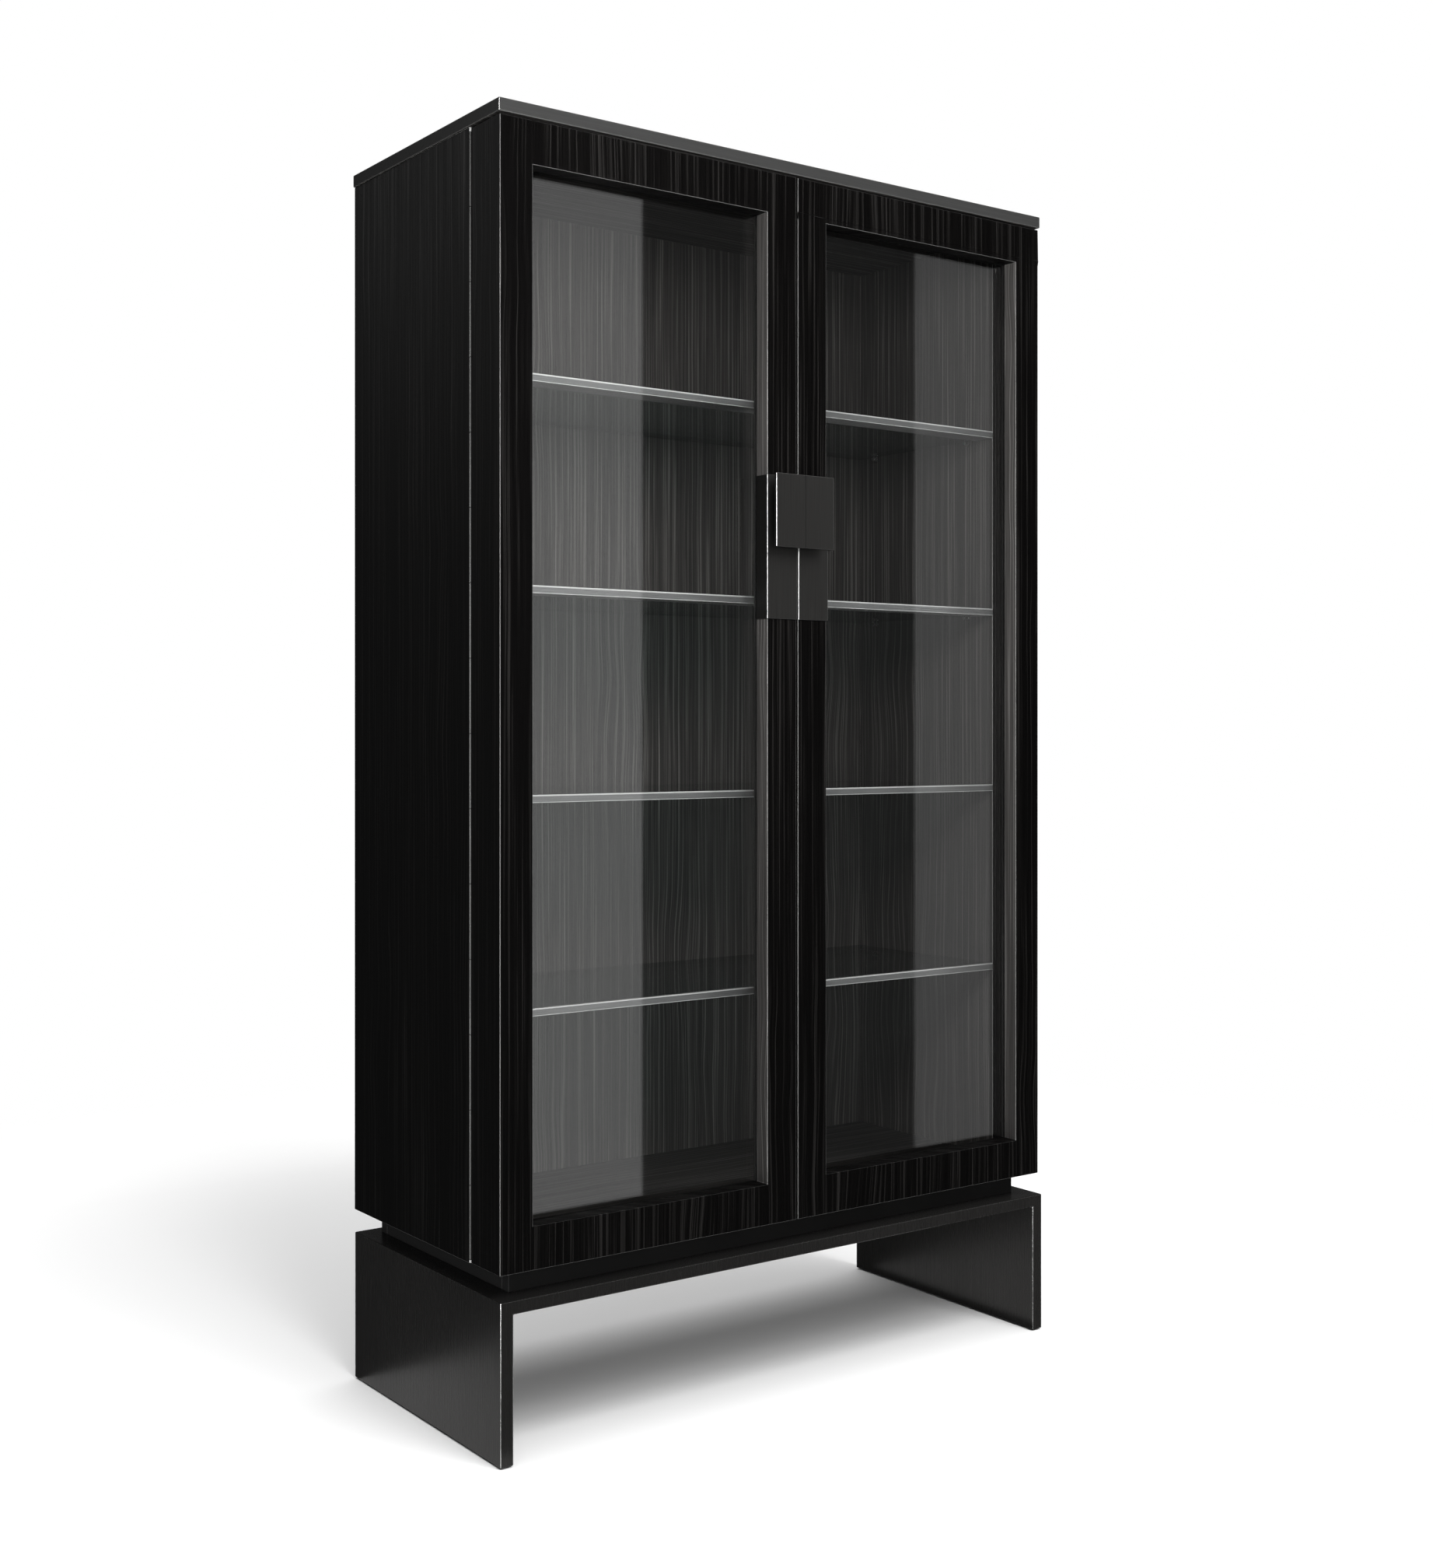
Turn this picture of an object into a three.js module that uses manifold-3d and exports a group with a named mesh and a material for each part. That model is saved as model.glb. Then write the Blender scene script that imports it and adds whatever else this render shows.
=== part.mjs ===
// China cabinet with two wrap-round glass doors, four glass shelves and a bridge base.
// Units are millimetres, +Z is up, the front faces -Y.
// The origin is on the floor, at the middle of the footprint.
import * as THREE from 'three';
import { mergeVertices } from 'three/addons/utils/BufferGeometryUtils.js';
import Module from 'manifold-3d';

const wasm = await Module();
wasm.setup();

// ---------------------------------------------------------------- driving dimensions

const WIDTH = 1000;              // over the base and the top panel
const DEPTH = 460;               // from the face of the pull to the back
const HEIGHT = 1800;

const PULL_PROUD = 20;           // the pull stands this far in front of the doors
const BODY_SET_IN = 2.5;         // the body is this much narrower than the top, each side
const FIT_GAP = 0.3;             // between surfaces that meet on a slant

const BASE_HEIGHT = 219;
const BASE_SLAB = 18.5;
const LEG_THICKNESS = 20;
const BASE_FORWARD = 6;          // the base stands this far in front of the doors
const GLIDE_THICKNESS = 2;
const GLIDE_INSET = 5;

const PLINTH_HEIGHT = 32;
const PLINTH_INSET = 30;
const BOARD = 18;                // boards that carry the body and close the doors
const SIDE_BOARD = 22;
const BACK_BOARD = 8;
const BACK_RECESS = 15;
const BACK_LAP = 10;             // how far the back board reaches into each side
const TOP_PROUD = 2;

const DOOR_GAP = 3;              // between the doors
const DOOR_HEADROOM = 3;
const DOOR_FLOOR_CLEARANCE = 1;
const DOOR_THICKNESS = 30;
const RAIL = 59;
const OUTER_STILE = 50;
const INNER_STILE = 53.5;
const WRAP_DEPTH = 80;           // the door covers this much of the side
const GLASS_THICKNESS = 4;
const REBATE = 8;
const GLASS_PLAY = 0.5;
const BEAD_WIDTH = 12;
const BEAD_THICKNESS = 3;

const KNUCKLE_RADIUS = 2.2;
const KNUCKLE_BORE = 1.35;
const PIN_RADIUS = 1.2;
const KNUCKLE_SIDES = 12;
const KNUCKLES = 15;
const KNUCKLE_PLAY = 0.4;
const LEAF_WIDTH = 15;
const LEAF_THICKNESS = 1;
const HINGE_END_GAP = 4;
const EDGE_CHAMFER = 2;

const PLATE_HEIGHT = 209;
const PLATE_TOP = 1340;
const PLATE_THICKNESS = 2;
const PLATE_WRAP_THICKNESS = 1.5;
const PLATE_WRAP_DEPTH = 25;
const PULL_SIZE = 107;
const PULL_TOP = 1341;
const PULL_THICKNESS = 5;
const PULL_SPLIT = 0.5;          // between the two halves of the square pull
const SPACER_WIDTH = 16;
const SPACER_HEIGHT = 61;
const SPACER_OFFSET = 6;

const SHELF_TOPS = [585, 879, 1168, 1460];
const SHELF_THICKNESS = 8;
const SHELF_PLAY = 1;
const RAIL_LIP = 1;              // shelf rail: lip over the glass
const RAIL_LIP_DEPTH = 6;
const RAIL_WALL = 2;
const RAIL_FLANGE_DEPTH = 40;
const RAIL_RIB = 2.4;
const RAIL_GROOVE = 0.7;

const SHELF_PIN_RADIUS = 3.5;
const SHELF_PIN_REACH = 10;
const SHELF_PIN_STEM_RADIUS = 2.4;
const SHELF_PIN_STEM = 8;
const SHELF_PIN_HOLE_RADIUS = 2.6;
const SHELF_PIN_SIDES = 16;
const SHELF_PIN_FROM_EDGE = 45;

const CATCH = { width: 46, depth: 18, height: 14 };
const STRIKE = { width: 18, height: 12, thickness: 1.5 };
const CATCH_AIR = 1;

// ---------------------------------------------------------------- planes worked out

const BACK_Y = DEPTH / 2;
const PULL_Y = -DEPTH / 2;
const DOOR_Y = PULL_Y + PULL_PROUD;
const DOOR_REAR_Y = DOOR_Y + DOOR_THICKNESS;
const HINGE_Y = DOOR_Y + WRAP_DEPTH;
const BODY_X = WIDTH / 2 - BODY_SET_IN;
const INSIDE_X = BODY_X - SIDE_BOARD;
const BACK_FACE_Y = BACK_Y - BACK_RECESS - BACK_BOARD;
const BODY_Z = BASE_HEIGHT + PLINTH_HEIGHT;
const FLOOR_Z = BODY_Z + BOARD;
const CEILING_Z = HEIGHT - BOARD;
const DOOR_Z = { low: BODY_Z + DOOR_FLOOR_CLEARANCE, high: CEILING_Z - DOOR_HEADROOM };
const DOOR_INNER_X = DOOR_GAP / 2;
const WINDOW = {
  outer: BODY_X - OUTER_STILE,
  inner: DOOR_INNER_X + INNER_STILE,
  low: DOOR_Z.low + RAIL,
  high: DOOR_Z.high - RAIL,
};
const GLASS_Y = DOOR_REAR_Y - GLASS_THICKNESS;
const SEAM_HALF = 1.5;           // half the gap between door and side, where the hinge sits

// ---------------------------------------------------------------- materials

const finish = (color, roughness, metalness, extra = {}) =>
  new THREE.MeshStandardMaterial({ color, roughness, metalness, ...extra });

const MATERIAL = {
  veneer: finish(0x1c1b1a, 0.42, 0.0),
  interior: finish(0x3a3735, 0.5, 0.0),
  topEdge: finish(0x3d3d3c, 0.45, 0.1),
  gunmetal: finish(0x383837, 0.4, 0.8),
  plinth: finish(0x0d0d0d, 0.7, 0.0),
  aluminium: finish(0xa7a9a8, 0.35, 0.9),
  steel: finish(0xb6b6b4, 0.3, 1.0),
  rubber: finish(0x141414, 0.9, 0.0),
  clearGlass: finish(0xdfe7e4, 0.03, 0.0, { transparent: true, opacity: 0.25 }),
  shelfGlass: finish(0x9fb5ad, 0.03, 0.0, { transparent: true, opacity: 0.45 }),
};

// ---------------------------------------------------------------- geometry helpers

const cabinet = new THREE.Group();

function addPiece(name, geometry, material) {
  const mesh = new THREE.Mesh(geometry, material);
  mesh.name = name;
  cabinet.add(mesh);
  return mesh;
}

function block(x0, x1, y0, y1, z0, z1) {
  const geometry = new THREE.BoxGeometry(Math.abs(x1 - x0), Math.abs(y1 - y0), Math.abs(z1 - z0));
  return geometry.translate((x0 + x1) / 2, (y0 + y1) / 2, (z0 + z1) / 2);
}

function outline(points) {
  return new THREE.Shape(points.map(([a, b]) => new THREE.Vector2(a, b)));
}

function extrude(shape, length) {
  return new THREE.ExtrudeGeometry(shape, { depth: length, bevelEnabled: false });
}

// A plan outline, in x and y, raised from z0 to z1.
function raise(points, z0, z1) {
  return extrude(outline(points), z1 - z0).translate(0, 0, z0);
}

// An end outline, in y and z, run along X from x0 to x1.
function runAlongX(points, x0, x1) {
  const turn = new THREE.Matrix4().makeBasis(
    new THREE.Vector3(0, 1, 0), new THREE.Vector3(0, 0, 1), new THREE.Vector3(1, 0, 0));
  return extrude(outline(points), x1 - x0).applyMatrix4(turn).translate(x0, 0, 0);
}

// A front outline, in x and z, run along Y from y0 to y1.
function runAlongY(shape, y0, y1) {
  return extrude(shape, y1 - y0).rotateX(Math.PI / 2).translate(0, y1, 0);
}

function rectangle(x0, x1, z0, z1) {
  return outline([[x0, z0], [x1, z0], [x1, z1], [x0, z1]]);
}

// Mirrors a plan outline to the left (side = -1) or right (side = 1) half.
const onSide = (side, points) => points.map(([x, y]) => [side * x, y]);

function solid(geometry) {
  const bare = geometry.clone();
  for (const name of Object.keys(bare.attributes)) {
    if (name !== 'position') bare.deleteAttribute(name);
  }
  const merged = mergeVertices(bare, 1e-4);
  return new wasm.Manifold(new wasm.Mesh({
    numProp: 3,
    vertProperties: new Float32Array(merged.attributes.position.array),
    triVerts: new Uint32Array(merged.index.array),
  }));
}

function toGeometry(manifold) {
  const mesh = manifold.getMesh();
  const geometry = new THREE.BufferGeometry();
  geometry.setAttribute('position', new THREE.BufferAttribute(mesh.vertProperties.slice(), 3));
  geometry.setIndex(new THREE.BufferAttribute(mesh.triVerts.slice(), 1));
  const flat = geometry.toNonIndexed();
  flat.computeVertexNormals();
  return flat;
}

const join = (...parts) => toGeometry(parts.map(solid).reduce((whole, part) => whole.add(part)));
const cut = (body, ...tools) => toGeometry(
  tools.map(solid).reduce((rest, tool) => rest.subtract(tool), solid(body)));

// ---------------------------------------------------------------- base and plinth

function addBase() {
  const half = WIDTH / 2;
  const front = DOOR_Y - BASE_FORWARD;
  const rear = BACK_Y - BASE_FORWARD;
  const under = BASE_HEIGHT - BASE_SLAB;
  const slab = outline([
    [-half + FIT_GAP, BASE_HEIGHT], [half - FIT_GAP, BASE_HEIGHT],
    [half - LEG_THICKNESS - FIT_GAP, under], [-half + LEG_THICKNESS + FIT_GAP, under],
  ]);
  addPiece('base_top_slab', runAlongY(slab, front, rear), MATERIAL.gunmetal);

  for (const [label, side] of [['left', -1], ['right', 1]]) {
    const leg = outline(onSide(side, [
      [half, GLIDE_THICKNESS], [half, BASE_HEIGHT - FIT_GAP],
      [half - LEG_THICKNESS, under - FIT_GAP], [half - LEG_THICKNESS, GLIDE_THICKNESS],
    ]));
    addPiece(`base_${label}_leg`, runAlongY(leg, front, rear), MATERIAL.gunmetal);
    const glide = block(side * (half - GLIDE_INSET), side * (half - LEG_THICKNESS + GLIDE_INSET),
      front + GLIDE_INSET, rear - GLIDE_INSET, 0, GLIDE_THICKNESS);
    addPiece(`${label}_leg_glide`, glide, MATERIAL.rubber);
  }
}

function addPlinth() {
  const x = BODY_X - PLINTH_INSET;
  const front = DOOR_Y + PLINTH_INSET;
  const rear = BACK_Y - PLINTH_INSET;
  const z = [BASE_HEIGHT, BODY_Z];
  addPiece('plinth_front', block(-x, x, front, front + BOARD, ...z), MATERIAL.plinth);
  addPiece('plinth_back', block(-x, x, rear - BOARD, rear, ...z), MATERIAL.plinth);
  addPiece('plinth_left', block(-x, -x + BOARD, front + BOARD, rear - BOARD, ...z), MATERIAL.plinth);
  addPiece('plinth_right', block(x - BOARD, x, front + BOARD, rear - BOARD, ...z), MATERIAL.plinth);
}

// ---------------------------------------------------------------- body

function shelfPinPlaces() {
  const rows = [HINGE_Y + SHELF_PIN_FROM_EDGE + 15, BACK_FACE_Y - SHELF_PIN_FROM_EDGE];
  return SHELF_TOPS.flatMap((top, index) => rows.map((y, row) => ({
    y,
    z: top - SHELF_THICKNESS - SHELF_PIN_RADIUS - FIT_GAP / 3,
    label: `${['front', 'back'][row]}_${index + 1}`,
  })));
}

// A round stick along X, from x0 to x1, centred on y and z.
function stickAlongX(radius, sides, x0, x1, y, z) {
  return new THREE.CylinderGeometry(radius, radius, x1 - x0, sides)
    .rotateZ(Math.PI / 2).translate((x0 + x1) / 2, y, z);
}

function addSides() {
  const seam = HINGE_Y + SEAM_HALF;
  for (const [label, side] of [['left', -1], ['right', 1]]) {
    const plan = onSide(side, [
      [BODY_X - EDGE_CHAMFER, seam], [INSIDE_X, seam], [INSIDE_X, BACK_FACE_Y],
      [INSIDE_X + BACK_LAP, BACK_FACE_Y], [INSIDE_X + BACK_LAP, BACK_Y],
      [BODY_X, BACK_Y], [BODY_X, seam + EDGE_CHAMFER],
    ]);
    const holes = shelfPinPlaces().map(({ y, z }) => {
      const ends = [side * (INSIDE_X - 1), side * (INSIDE_X + SHELF_PIN_STEM + 1)];
      return stickAlongX(SHELF_PIN_HOLE_RADIUS, SHELF_PIN_SIDES,
        Math.min(...ends), Math.max(...ends), y, z);
    });
    addPiece(`${label}_side_panel`, cut(raise(plan, BODY_Z, CEILING_Z), ...holes), MATERIAL.veneer);
  }
}

function addBoards() {
  const shelfFront = DOOR_REAR_Y + 2 * BEAD_THICKNESS;
  addPiece('bottom_panel',
    block(-INSIDE_X, INSIDE_X, shelfFront, BACK_FACE_Y, BODY_Z, FLOOR_Z), MATERIAL.interior);
  addPiece('top_panel',
    block(-WIDTH / 2, WIDTH / 2, DOOR_Y - TOP_PROUD, BACK_Y, CEILING_Z, HEIGHT), MATERIAL.topEdge);
  const lap = INSIDE_X + BACK_LAP;
  addPiece('back_panel',
    block(-lap, lap, BACK_FACE_Y, BACK_FACE_Y + BACK_BOARD, BODY_Z, CEILING_Z), MATERIAL.interior);
}

// ---------------------------------------------------------------- shelves

// The end outline of the metal rail that grips the front edge of a shelf: a short lip over
// the glass, a front wall, and a deep flange under it with fine grooves along its length.
function shelfRailOutline(top) {
  const front = HINGE_Y;
  const glassUnder = top - SHELF_THICKNESS;
  const under = glassUnder - RAIL_WALL;
  const grooves = [];
  const count = Math.floor((RAIL_FLANGE_DEPTH - 2 * RAIL_RIB) / (2 * RAIL_RIB));
  for (let k = 0; k < count; k += 1) {
    const start = front + RAIL_FLANGE_DEPTH - RAIL_RIB * (2 * k + 1);
    grooves.push([start, under], [start, under + RAIL_GROOVE],
      [start - RAIL_RIB, under + RAIL_GROOVE], [start - RAIL_RIB, under]);
  }
  return [
    [front, top + RAIL_LIP], [front, under], ...grooves.reverse(),
    [front + RAIL_FLANGE_DEPTH, under], [front + RAIL_FLANGE_DEPTH, glassUnder],
    [front + RAIL_WALL, glassUnder], [front + RAIL_WALL, top],
    [front + RAIL_LIP_DEPTH, top], [front + RAIL_LIP_DEPTH, top + RAIL_LIP],
  ];
}

function addShelves() {
  const x = INSIDE_X - SHELF_PLAY;
  SHELF_TOPS.forEach((top, index) => {
    const glass = block(-x, x, HINGE_Y + RAIL_WALL, BACK_FACE_Y - RAIL_WALL, top - SHELF_THICKNESS, top);
    addPiece(`glass_shelf_${index + 1}`, glass, MATERIAL.shelfGlass);
    addPiece(`shelf_rail_${index + 1}`, runAlongX(shelfRailOutline(top), -x, x), MATERIAL.aluminium);
  });
}

// A turned pin: a thin stem that sits in the side panel and a thicker head under the glass.
function addShelfPins() {
  const profile = [
    [0, -SHELF_PIN_STEM], [SHELF_PIN_STEM_RADIUS, -SHELF_PIN_STEM], [SHELF_PIN_STEM_RADIUS, 0],
    [SHELF_PIN_RADIUS, 0], [SHELF_PIN_RADIUS, SHELF_PIN_REACH], [0, SHELF_PIN_REACH],
  ].map(([r, h]) => new THREE.Vector2(r, h));
  for (const { label, y, z } of shelfPinPlaces()) {
    for (const [name, side] of [['left', -1], ['right', 1]]) {
      const geometry = new THREE.LatheGeometry(profile, SHELF_PIN_SIDES);
      geometry.rotateZ(side * Math.PI / 2).translate(side * INSIDE_X, y, z);
      addPiece(`shelf_pin_${name}_${label}`, geometry, MATERIAL.steel);
    }
  }
}

// ---------------------------------------------------------------- hinges

// One leaf of the long hinge, for the right side: a strip along a board's edge with every
// second knuckle of the barrel joined to it. side = -1 mirrors it to the left.
function hingeLeaf(side, isFixed) {
  const low = DOOR_Z.low + HINGE_END_GAP;
  const pitch = (DOOR_Z.high - HINGE_END_GAP - low) / KNUCKLES;
  const away = isFixed ? 1 : -1;
  const faces = [HINGE_Y + away * (SEAM_HALF - LEAF_THICKNESS), HINGE_Y + away * SEAM_HALF];
  const stripX = BODY_X - KNUCKLE_RADIUS - FIT_GAP;
  const tabX = BODY_X - (KNUCKLE_RADIUS + KNUCKLE_BORE) / 2 + FIT_GAP;
  const strip = block(side * stripX, side * (stripX - LEAF_WIDTH), ...faces,
    low, low + pitch * KNUCKLES);
  const parts = [strip];
  const bores = [];
  for (let k = isFixed ? 0 : 1; k < KNUCKLES; k += 2) {
    const z0 = low + k * pitch + KNUCKLE_PLAY / 2;
    const z1 = low + (k + 1) * pitch - KNUCKLE_PLAY / 2;
    parts.push(stickAlongZ(KNUCKLE_RADIUS, side * BODY_X, HINGE_Y, z0, z1));
    parts.push(block(side * tabX, side * (stripX - FIT_GAP), ...faces, z0, z1));
    bores.push(stickAlongZ(KNUCKLE_BORE, side * BODY_X, HINGE_Y, z0 - 1, z1 + 1));
  }
  return cut(join(...parts), ...bores);
}

function stickAlongZ(radius, x, y, z0, z1) {
  return new THREE.CylinderGeometry(radius, radius, z1 - z0, KNUCKLE_SIDES)
    .rotateX(Math.PI / 2).translate(x, y, (z0 + z1) / 2);
}

function addHinges() {
  for (const [label, side] of [['left', -1], ['right', 1]]) {
    addPiece(`${label}_hinge_body_leaf`, hingeLeaf(side, true), MATERIAL.steel);
    addPiece(`${label}_hinge_door_leaf`, hingeLeaf(side, false), MATERIAL.steel);
    const pin = stickAlongZ(PIN_RADIUS, side * BODY_X, HINGE_Y,
      DOOR_Z.low + HINGE_END_GAP, DOOR_Z.high - HINGE_END_GAP);
    addPiece(`${label}_hinge_pin`, pin, MATERIAL.steel);
  }
}

// ---------------------------------------------------------------- doors

// The flat front frame, rebated at the back for the glass and mitred at its outer corner.
function doorFrame(side) {
  const { low, high } = DOOR_Z;
  const shape = rectangle(...[side * DOOR_INNER_X, side * BODY_X].sort((a, b) => a - b), low, high);
  const [w0, w1] = [side * WINDOW.inner, side * WINDOW.outer].sort((a, b) => a - b);
  shape.holes.push(rectangle(w0, w1, WINDOW.low, WINDOW.high));
  const rebate = block(w0 - REBATE, w1 + REBATE, GLASS_Y, DOOR_REAR_Y + 1,
    WINDOW.low - REBATE, WINDOW.high + REBATE);
  const slant = FIT_GAP * Math.SQRT2;
  const reach = 5;
  const cornerX = BODY_X - slant;
  const wedge = raise(onSide(side, [
    [cornerX + reach, DOOR_Y - reach], [BODY_X + 2 * reach, DOOR_Y - reach],
    [BODY_X + 2 * reach, DOOR_REAR_Y + 1], [BODY_X - BOARD, DOOR_REAR_Y + 1],
    [BODY_X - BOARD, DOOR_Y + BOARD - slant],
  ]), low - 1, high + 1);
  return cut(runAlongY(shape, DOOR_Y, DOOR_REAR_Y), rebate, wedge);
}

// The board that carries the door face round the corner to the hinge.
function doorReturn(side) {
  const end = HINGE_Y - SEAM_HALF;
  return raise(onSide(side, [
    [BODY_X, DOOR_Y], [BODY_X, end - EDGE_CHAMFER], [BODY_X - EDGE_CHAMFER, end],
    [BODY_X - BOARD, end], [BODY_X - BOARD, DOOR_Y + BOARD],
  ]), DOOR_Z.low, DOOR_Z.high);
}

function doorGlass(side) {
  const over = REBATE - GLASS_PLAY;
  return block(side * (WINDOW.inner - over), side * (WINDOW.outer + over), GLASS_Y, DOOR_REAR_Y,
    WINDOW.low - over, WINDOW.high + over);
}

// The flat ring screwed behind the glass to keep it in its rebate.
function glassBead(side) {
  const [w0, w1] = [side * WINDOW.inner, side * WINDOW.outer].sort((a, b) => a - b);
  const ring = rectangle(w0 - BEAD_WIDTH, w1 + BEAD_WIDTH,
    WINDOW.low - BEAD_WIDTH, WINDOW.high + BEAD_WIDTH);
  ring.holes.push(rectangle(w0, w1, WINDOW.low, WINDOW.high));
  return runAlongY(ring, DOOR_REAR_Y, DOOR_REAR_Y + BEAD_THICKNESS);
}

// The metal sheet that covers the inner stile and folds back into the window opening.
function handlePlate(side) {
  const face = DOOR_Y - PLATE_THICKNESS;
  return raise(onSide(side, [
    [DOOR_INNER_X, face], [WINDOW.inner + PLATE_WRAP_THICKNESS, face],
    [WINDOW.inner + PLATE_WRAP_THICKNESS, DOOR_Y + PLATE_WRAP_DEPTH],
    [WINDOW.inner, DOOR_Y + PLATE_WRAP_DEPTH], [WINDOW.inner, DOOR_Y], [DOOR_INNER_X, DOOR_Y],
  ]), PLATE_TOP - PLATE_HEIGHT, PLATE_TOP);
}

// Half of the square pull, on a spacer block that leaves room for fingers behind it.
function pullHalf(side) {
  const rear = PULL_Y + PULL_THICKNESS;
  const middle = PULL_TOP - PULL_SIZE / 2;
  const plate = block(side * PULL_SPLIT / 2, side * PULL_SIZE / 2, PULL_Y, rear,
    PULL_TOP - PULL_SIZE, PULL_TOP);
  const spacer = block(side * SPACER_OFFSET, side * (SPACER_OFFSET + SPACER_WIDTH),
    rear - 1, DOOR_Y - PLATE_THICKNESS, middle - SPACER_HEIGHT / 2, middle + SPACER_HEIGHT / 2);
  return join(plate, spacer);
}

function catchStrike(side) {
  const x = CATCH.width / 2;
  const z = DOOR_Z.high - DOOR_HEADROOM;
  return block(side * (x - STRIKE.width), side * x, DOOR_REAR_Y, DOOR_REAR_Y + STRIKE.thickness,
    z - STRIKE.height, z);
}

function addDoors() {
  for (const [label, side] of [['left', -1], ['right', 1]]) {
    addPiece(`${label}_door_frame`, doorFrame(side), MATERIAL.veneer);
    addPiece(`${label}_door_return`, doorReturn(side), MATERIAL.veneer);
    addPiece(`${label}_door_glass`, doorGlass(side), MATERIAL.clearGlass);
    addPiece(`${label}_glass_bead`, glassBead(side), MATERIAL.plinth);
    addPiece(`${label}_handle_plate`, handlePlate(side), MATERIAL.gunmetal);
    addPiece(`${label}_pull_half`, pullHalf(side), MATERIAL.gunmetal);
    addPiece(`${label}_catch_strike`, catchStrike(side), MATERIAL.steel);
  }
}

function addCatch() {
  const front = DOOR_REAR_Y + STRIKE.thickness + CATCH_AIR;
  addPiece('magnetic_catch', block(-CATCH.width / 2, CATCH.width / 2, front, front + CATCH.depth,
    CEILING_Z - CATCH.height, CEILING_Z), MATERIAL.rubber);
}

// ---------------------------------------------------------------- assembly

addBase();
addPlinth();
addSides();
addBoards();
addShelves();
addShelfPins();
addHinges();
addDoors();
addCatch();

export default cabinet;
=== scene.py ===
# %% [markdown]
# # Dressing a china cabinet
#
# The cabinet is a tall dark box on a bridge-shaped base. Two framed glass doors wrap round
# its front corners, and four glass shelves with metal front rails stand behind them.
#
# Its boards, sizes and hinges are already settled in a fixed frame. This lesson gives every
# part its real edges, grain, metal and glass, and then sets up a plain studio round it.

# %% Load the fixed frame
import math

import bmesh
import bpy
from mathutils import Matrix, Vector


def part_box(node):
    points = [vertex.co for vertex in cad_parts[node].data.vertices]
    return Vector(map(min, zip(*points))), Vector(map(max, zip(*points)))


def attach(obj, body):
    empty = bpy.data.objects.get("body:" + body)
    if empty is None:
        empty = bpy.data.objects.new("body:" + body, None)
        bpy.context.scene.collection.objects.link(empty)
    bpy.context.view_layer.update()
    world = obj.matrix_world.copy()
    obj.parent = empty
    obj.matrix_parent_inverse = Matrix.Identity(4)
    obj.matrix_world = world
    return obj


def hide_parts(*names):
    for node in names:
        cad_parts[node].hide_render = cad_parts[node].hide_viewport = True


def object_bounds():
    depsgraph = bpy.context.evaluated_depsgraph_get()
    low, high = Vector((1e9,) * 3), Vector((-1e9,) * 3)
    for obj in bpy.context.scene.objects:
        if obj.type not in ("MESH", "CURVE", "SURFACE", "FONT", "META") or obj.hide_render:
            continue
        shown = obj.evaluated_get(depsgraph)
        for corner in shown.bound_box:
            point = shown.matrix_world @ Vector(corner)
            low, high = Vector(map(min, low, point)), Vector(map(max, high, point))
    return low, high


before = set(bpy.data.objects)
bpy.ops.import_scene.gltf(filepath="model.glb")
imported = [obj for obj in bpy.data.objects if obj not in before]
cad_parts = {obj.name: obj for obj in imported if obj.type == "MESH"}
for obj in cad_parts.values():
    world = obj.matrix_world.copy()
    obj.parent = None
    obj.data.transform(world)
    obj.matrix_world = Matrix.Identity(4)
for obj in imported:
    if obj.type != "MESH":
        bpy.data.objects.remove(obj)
cad_low, cad_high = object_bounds()
scene = bpy.context.scene
MM = 0.001
SIDES = {"left": -1, "right": 1}
print("frame", len(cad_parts), "nodes,", [round(v, 3) for v in cad_high - cad_low], "m")

# %% [markdown]
# ## The camera
#
# The camera stands at chest height, in front of the cabinet and to its left, so that one side
# and the whole front are seen. It looks level, which keeps the upright edges upright, and the
# picture is shifted instead of the camera being tipped, as an architect's lens does it.

# %% Camera
VIEW_TURN = math.radians(36)     # between the view and the cabinet's own depth
CORNER_DEPTH = 2.485             # from the eye to the near front corner, along the view
CORNER_LEFT = 0.285              # that corner is this far left of the view's middle
EYE_HEIGHT = 0.97
LENS = 43.55
PICTURE_SHIFT = -0.0347

forward = Vector((math.sin(VIEW_TURN), math.cos(VIEW_TURN), 0))
rightward = Vector((math.cos(VIEW_TURN), -math.sin(VIEW_TURN), 0))
near_corner = Vector((cad_low.x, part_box("top_panel")[0].y, 0))
eye = near_corner - forward * CORNER_DEPTH + rightward * CORNER_LEFT
eye.z = EYE_HEIGHT

camera_data = bpy.data.cameras.new("camera")
camera_data.lens = LENS
camera_data.shift_y = PICTURE_SHIFT
camera = bpy.data.objects.new("camera", camera_data)
camera.location = eye
camera.rotation_euler = (math.pi / 2, 0, -VIEW_TURN)
scene.collection.objects.link(camera)
scene.camera = camera
scene.view_settings.view_transform = "Standard"
print("eye", [round(v, 3) for v in eye])

# %% [markdown]
# ## Small helpers for node trees
#
# Materials, the surroundings and the geometry patterns are all node trees. Three short
# helpers keep their recipes readable: one fills or links a socket, one adds a node with its
# inputs, and one does arithmetic.

# %% Node helpers
def plug(tree, socket, value):
    """Links a socket to another node's output, or sets it to a plain value."""
    if isinstance(value, bpy.types.NodeSocket):
        tree.links.new(value, socket)
    else:
        socket.default_value = value


def add_node(tree, kind, choices=None, by_place=(), **by_name):
    """A new node. by_place fills its inputs in order, and by_name fills them by their names."""
    made = tree.nodes.new(kind)
    for key, value in (choices or {}).items():
        setattr(made, key, value)
    for place, value in enumerate(by_place):
        plug(tree, made.inputs[place], value)
    for key, value in by_name.items():
        plug(tree, made.inputs[key.replace("_", " ")], value)
    return made


def calc(tree, operation, *values):
    return add_node(tree, "ShaderNodeMath", {"operation": operation}, values).outputs[0]


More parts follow.
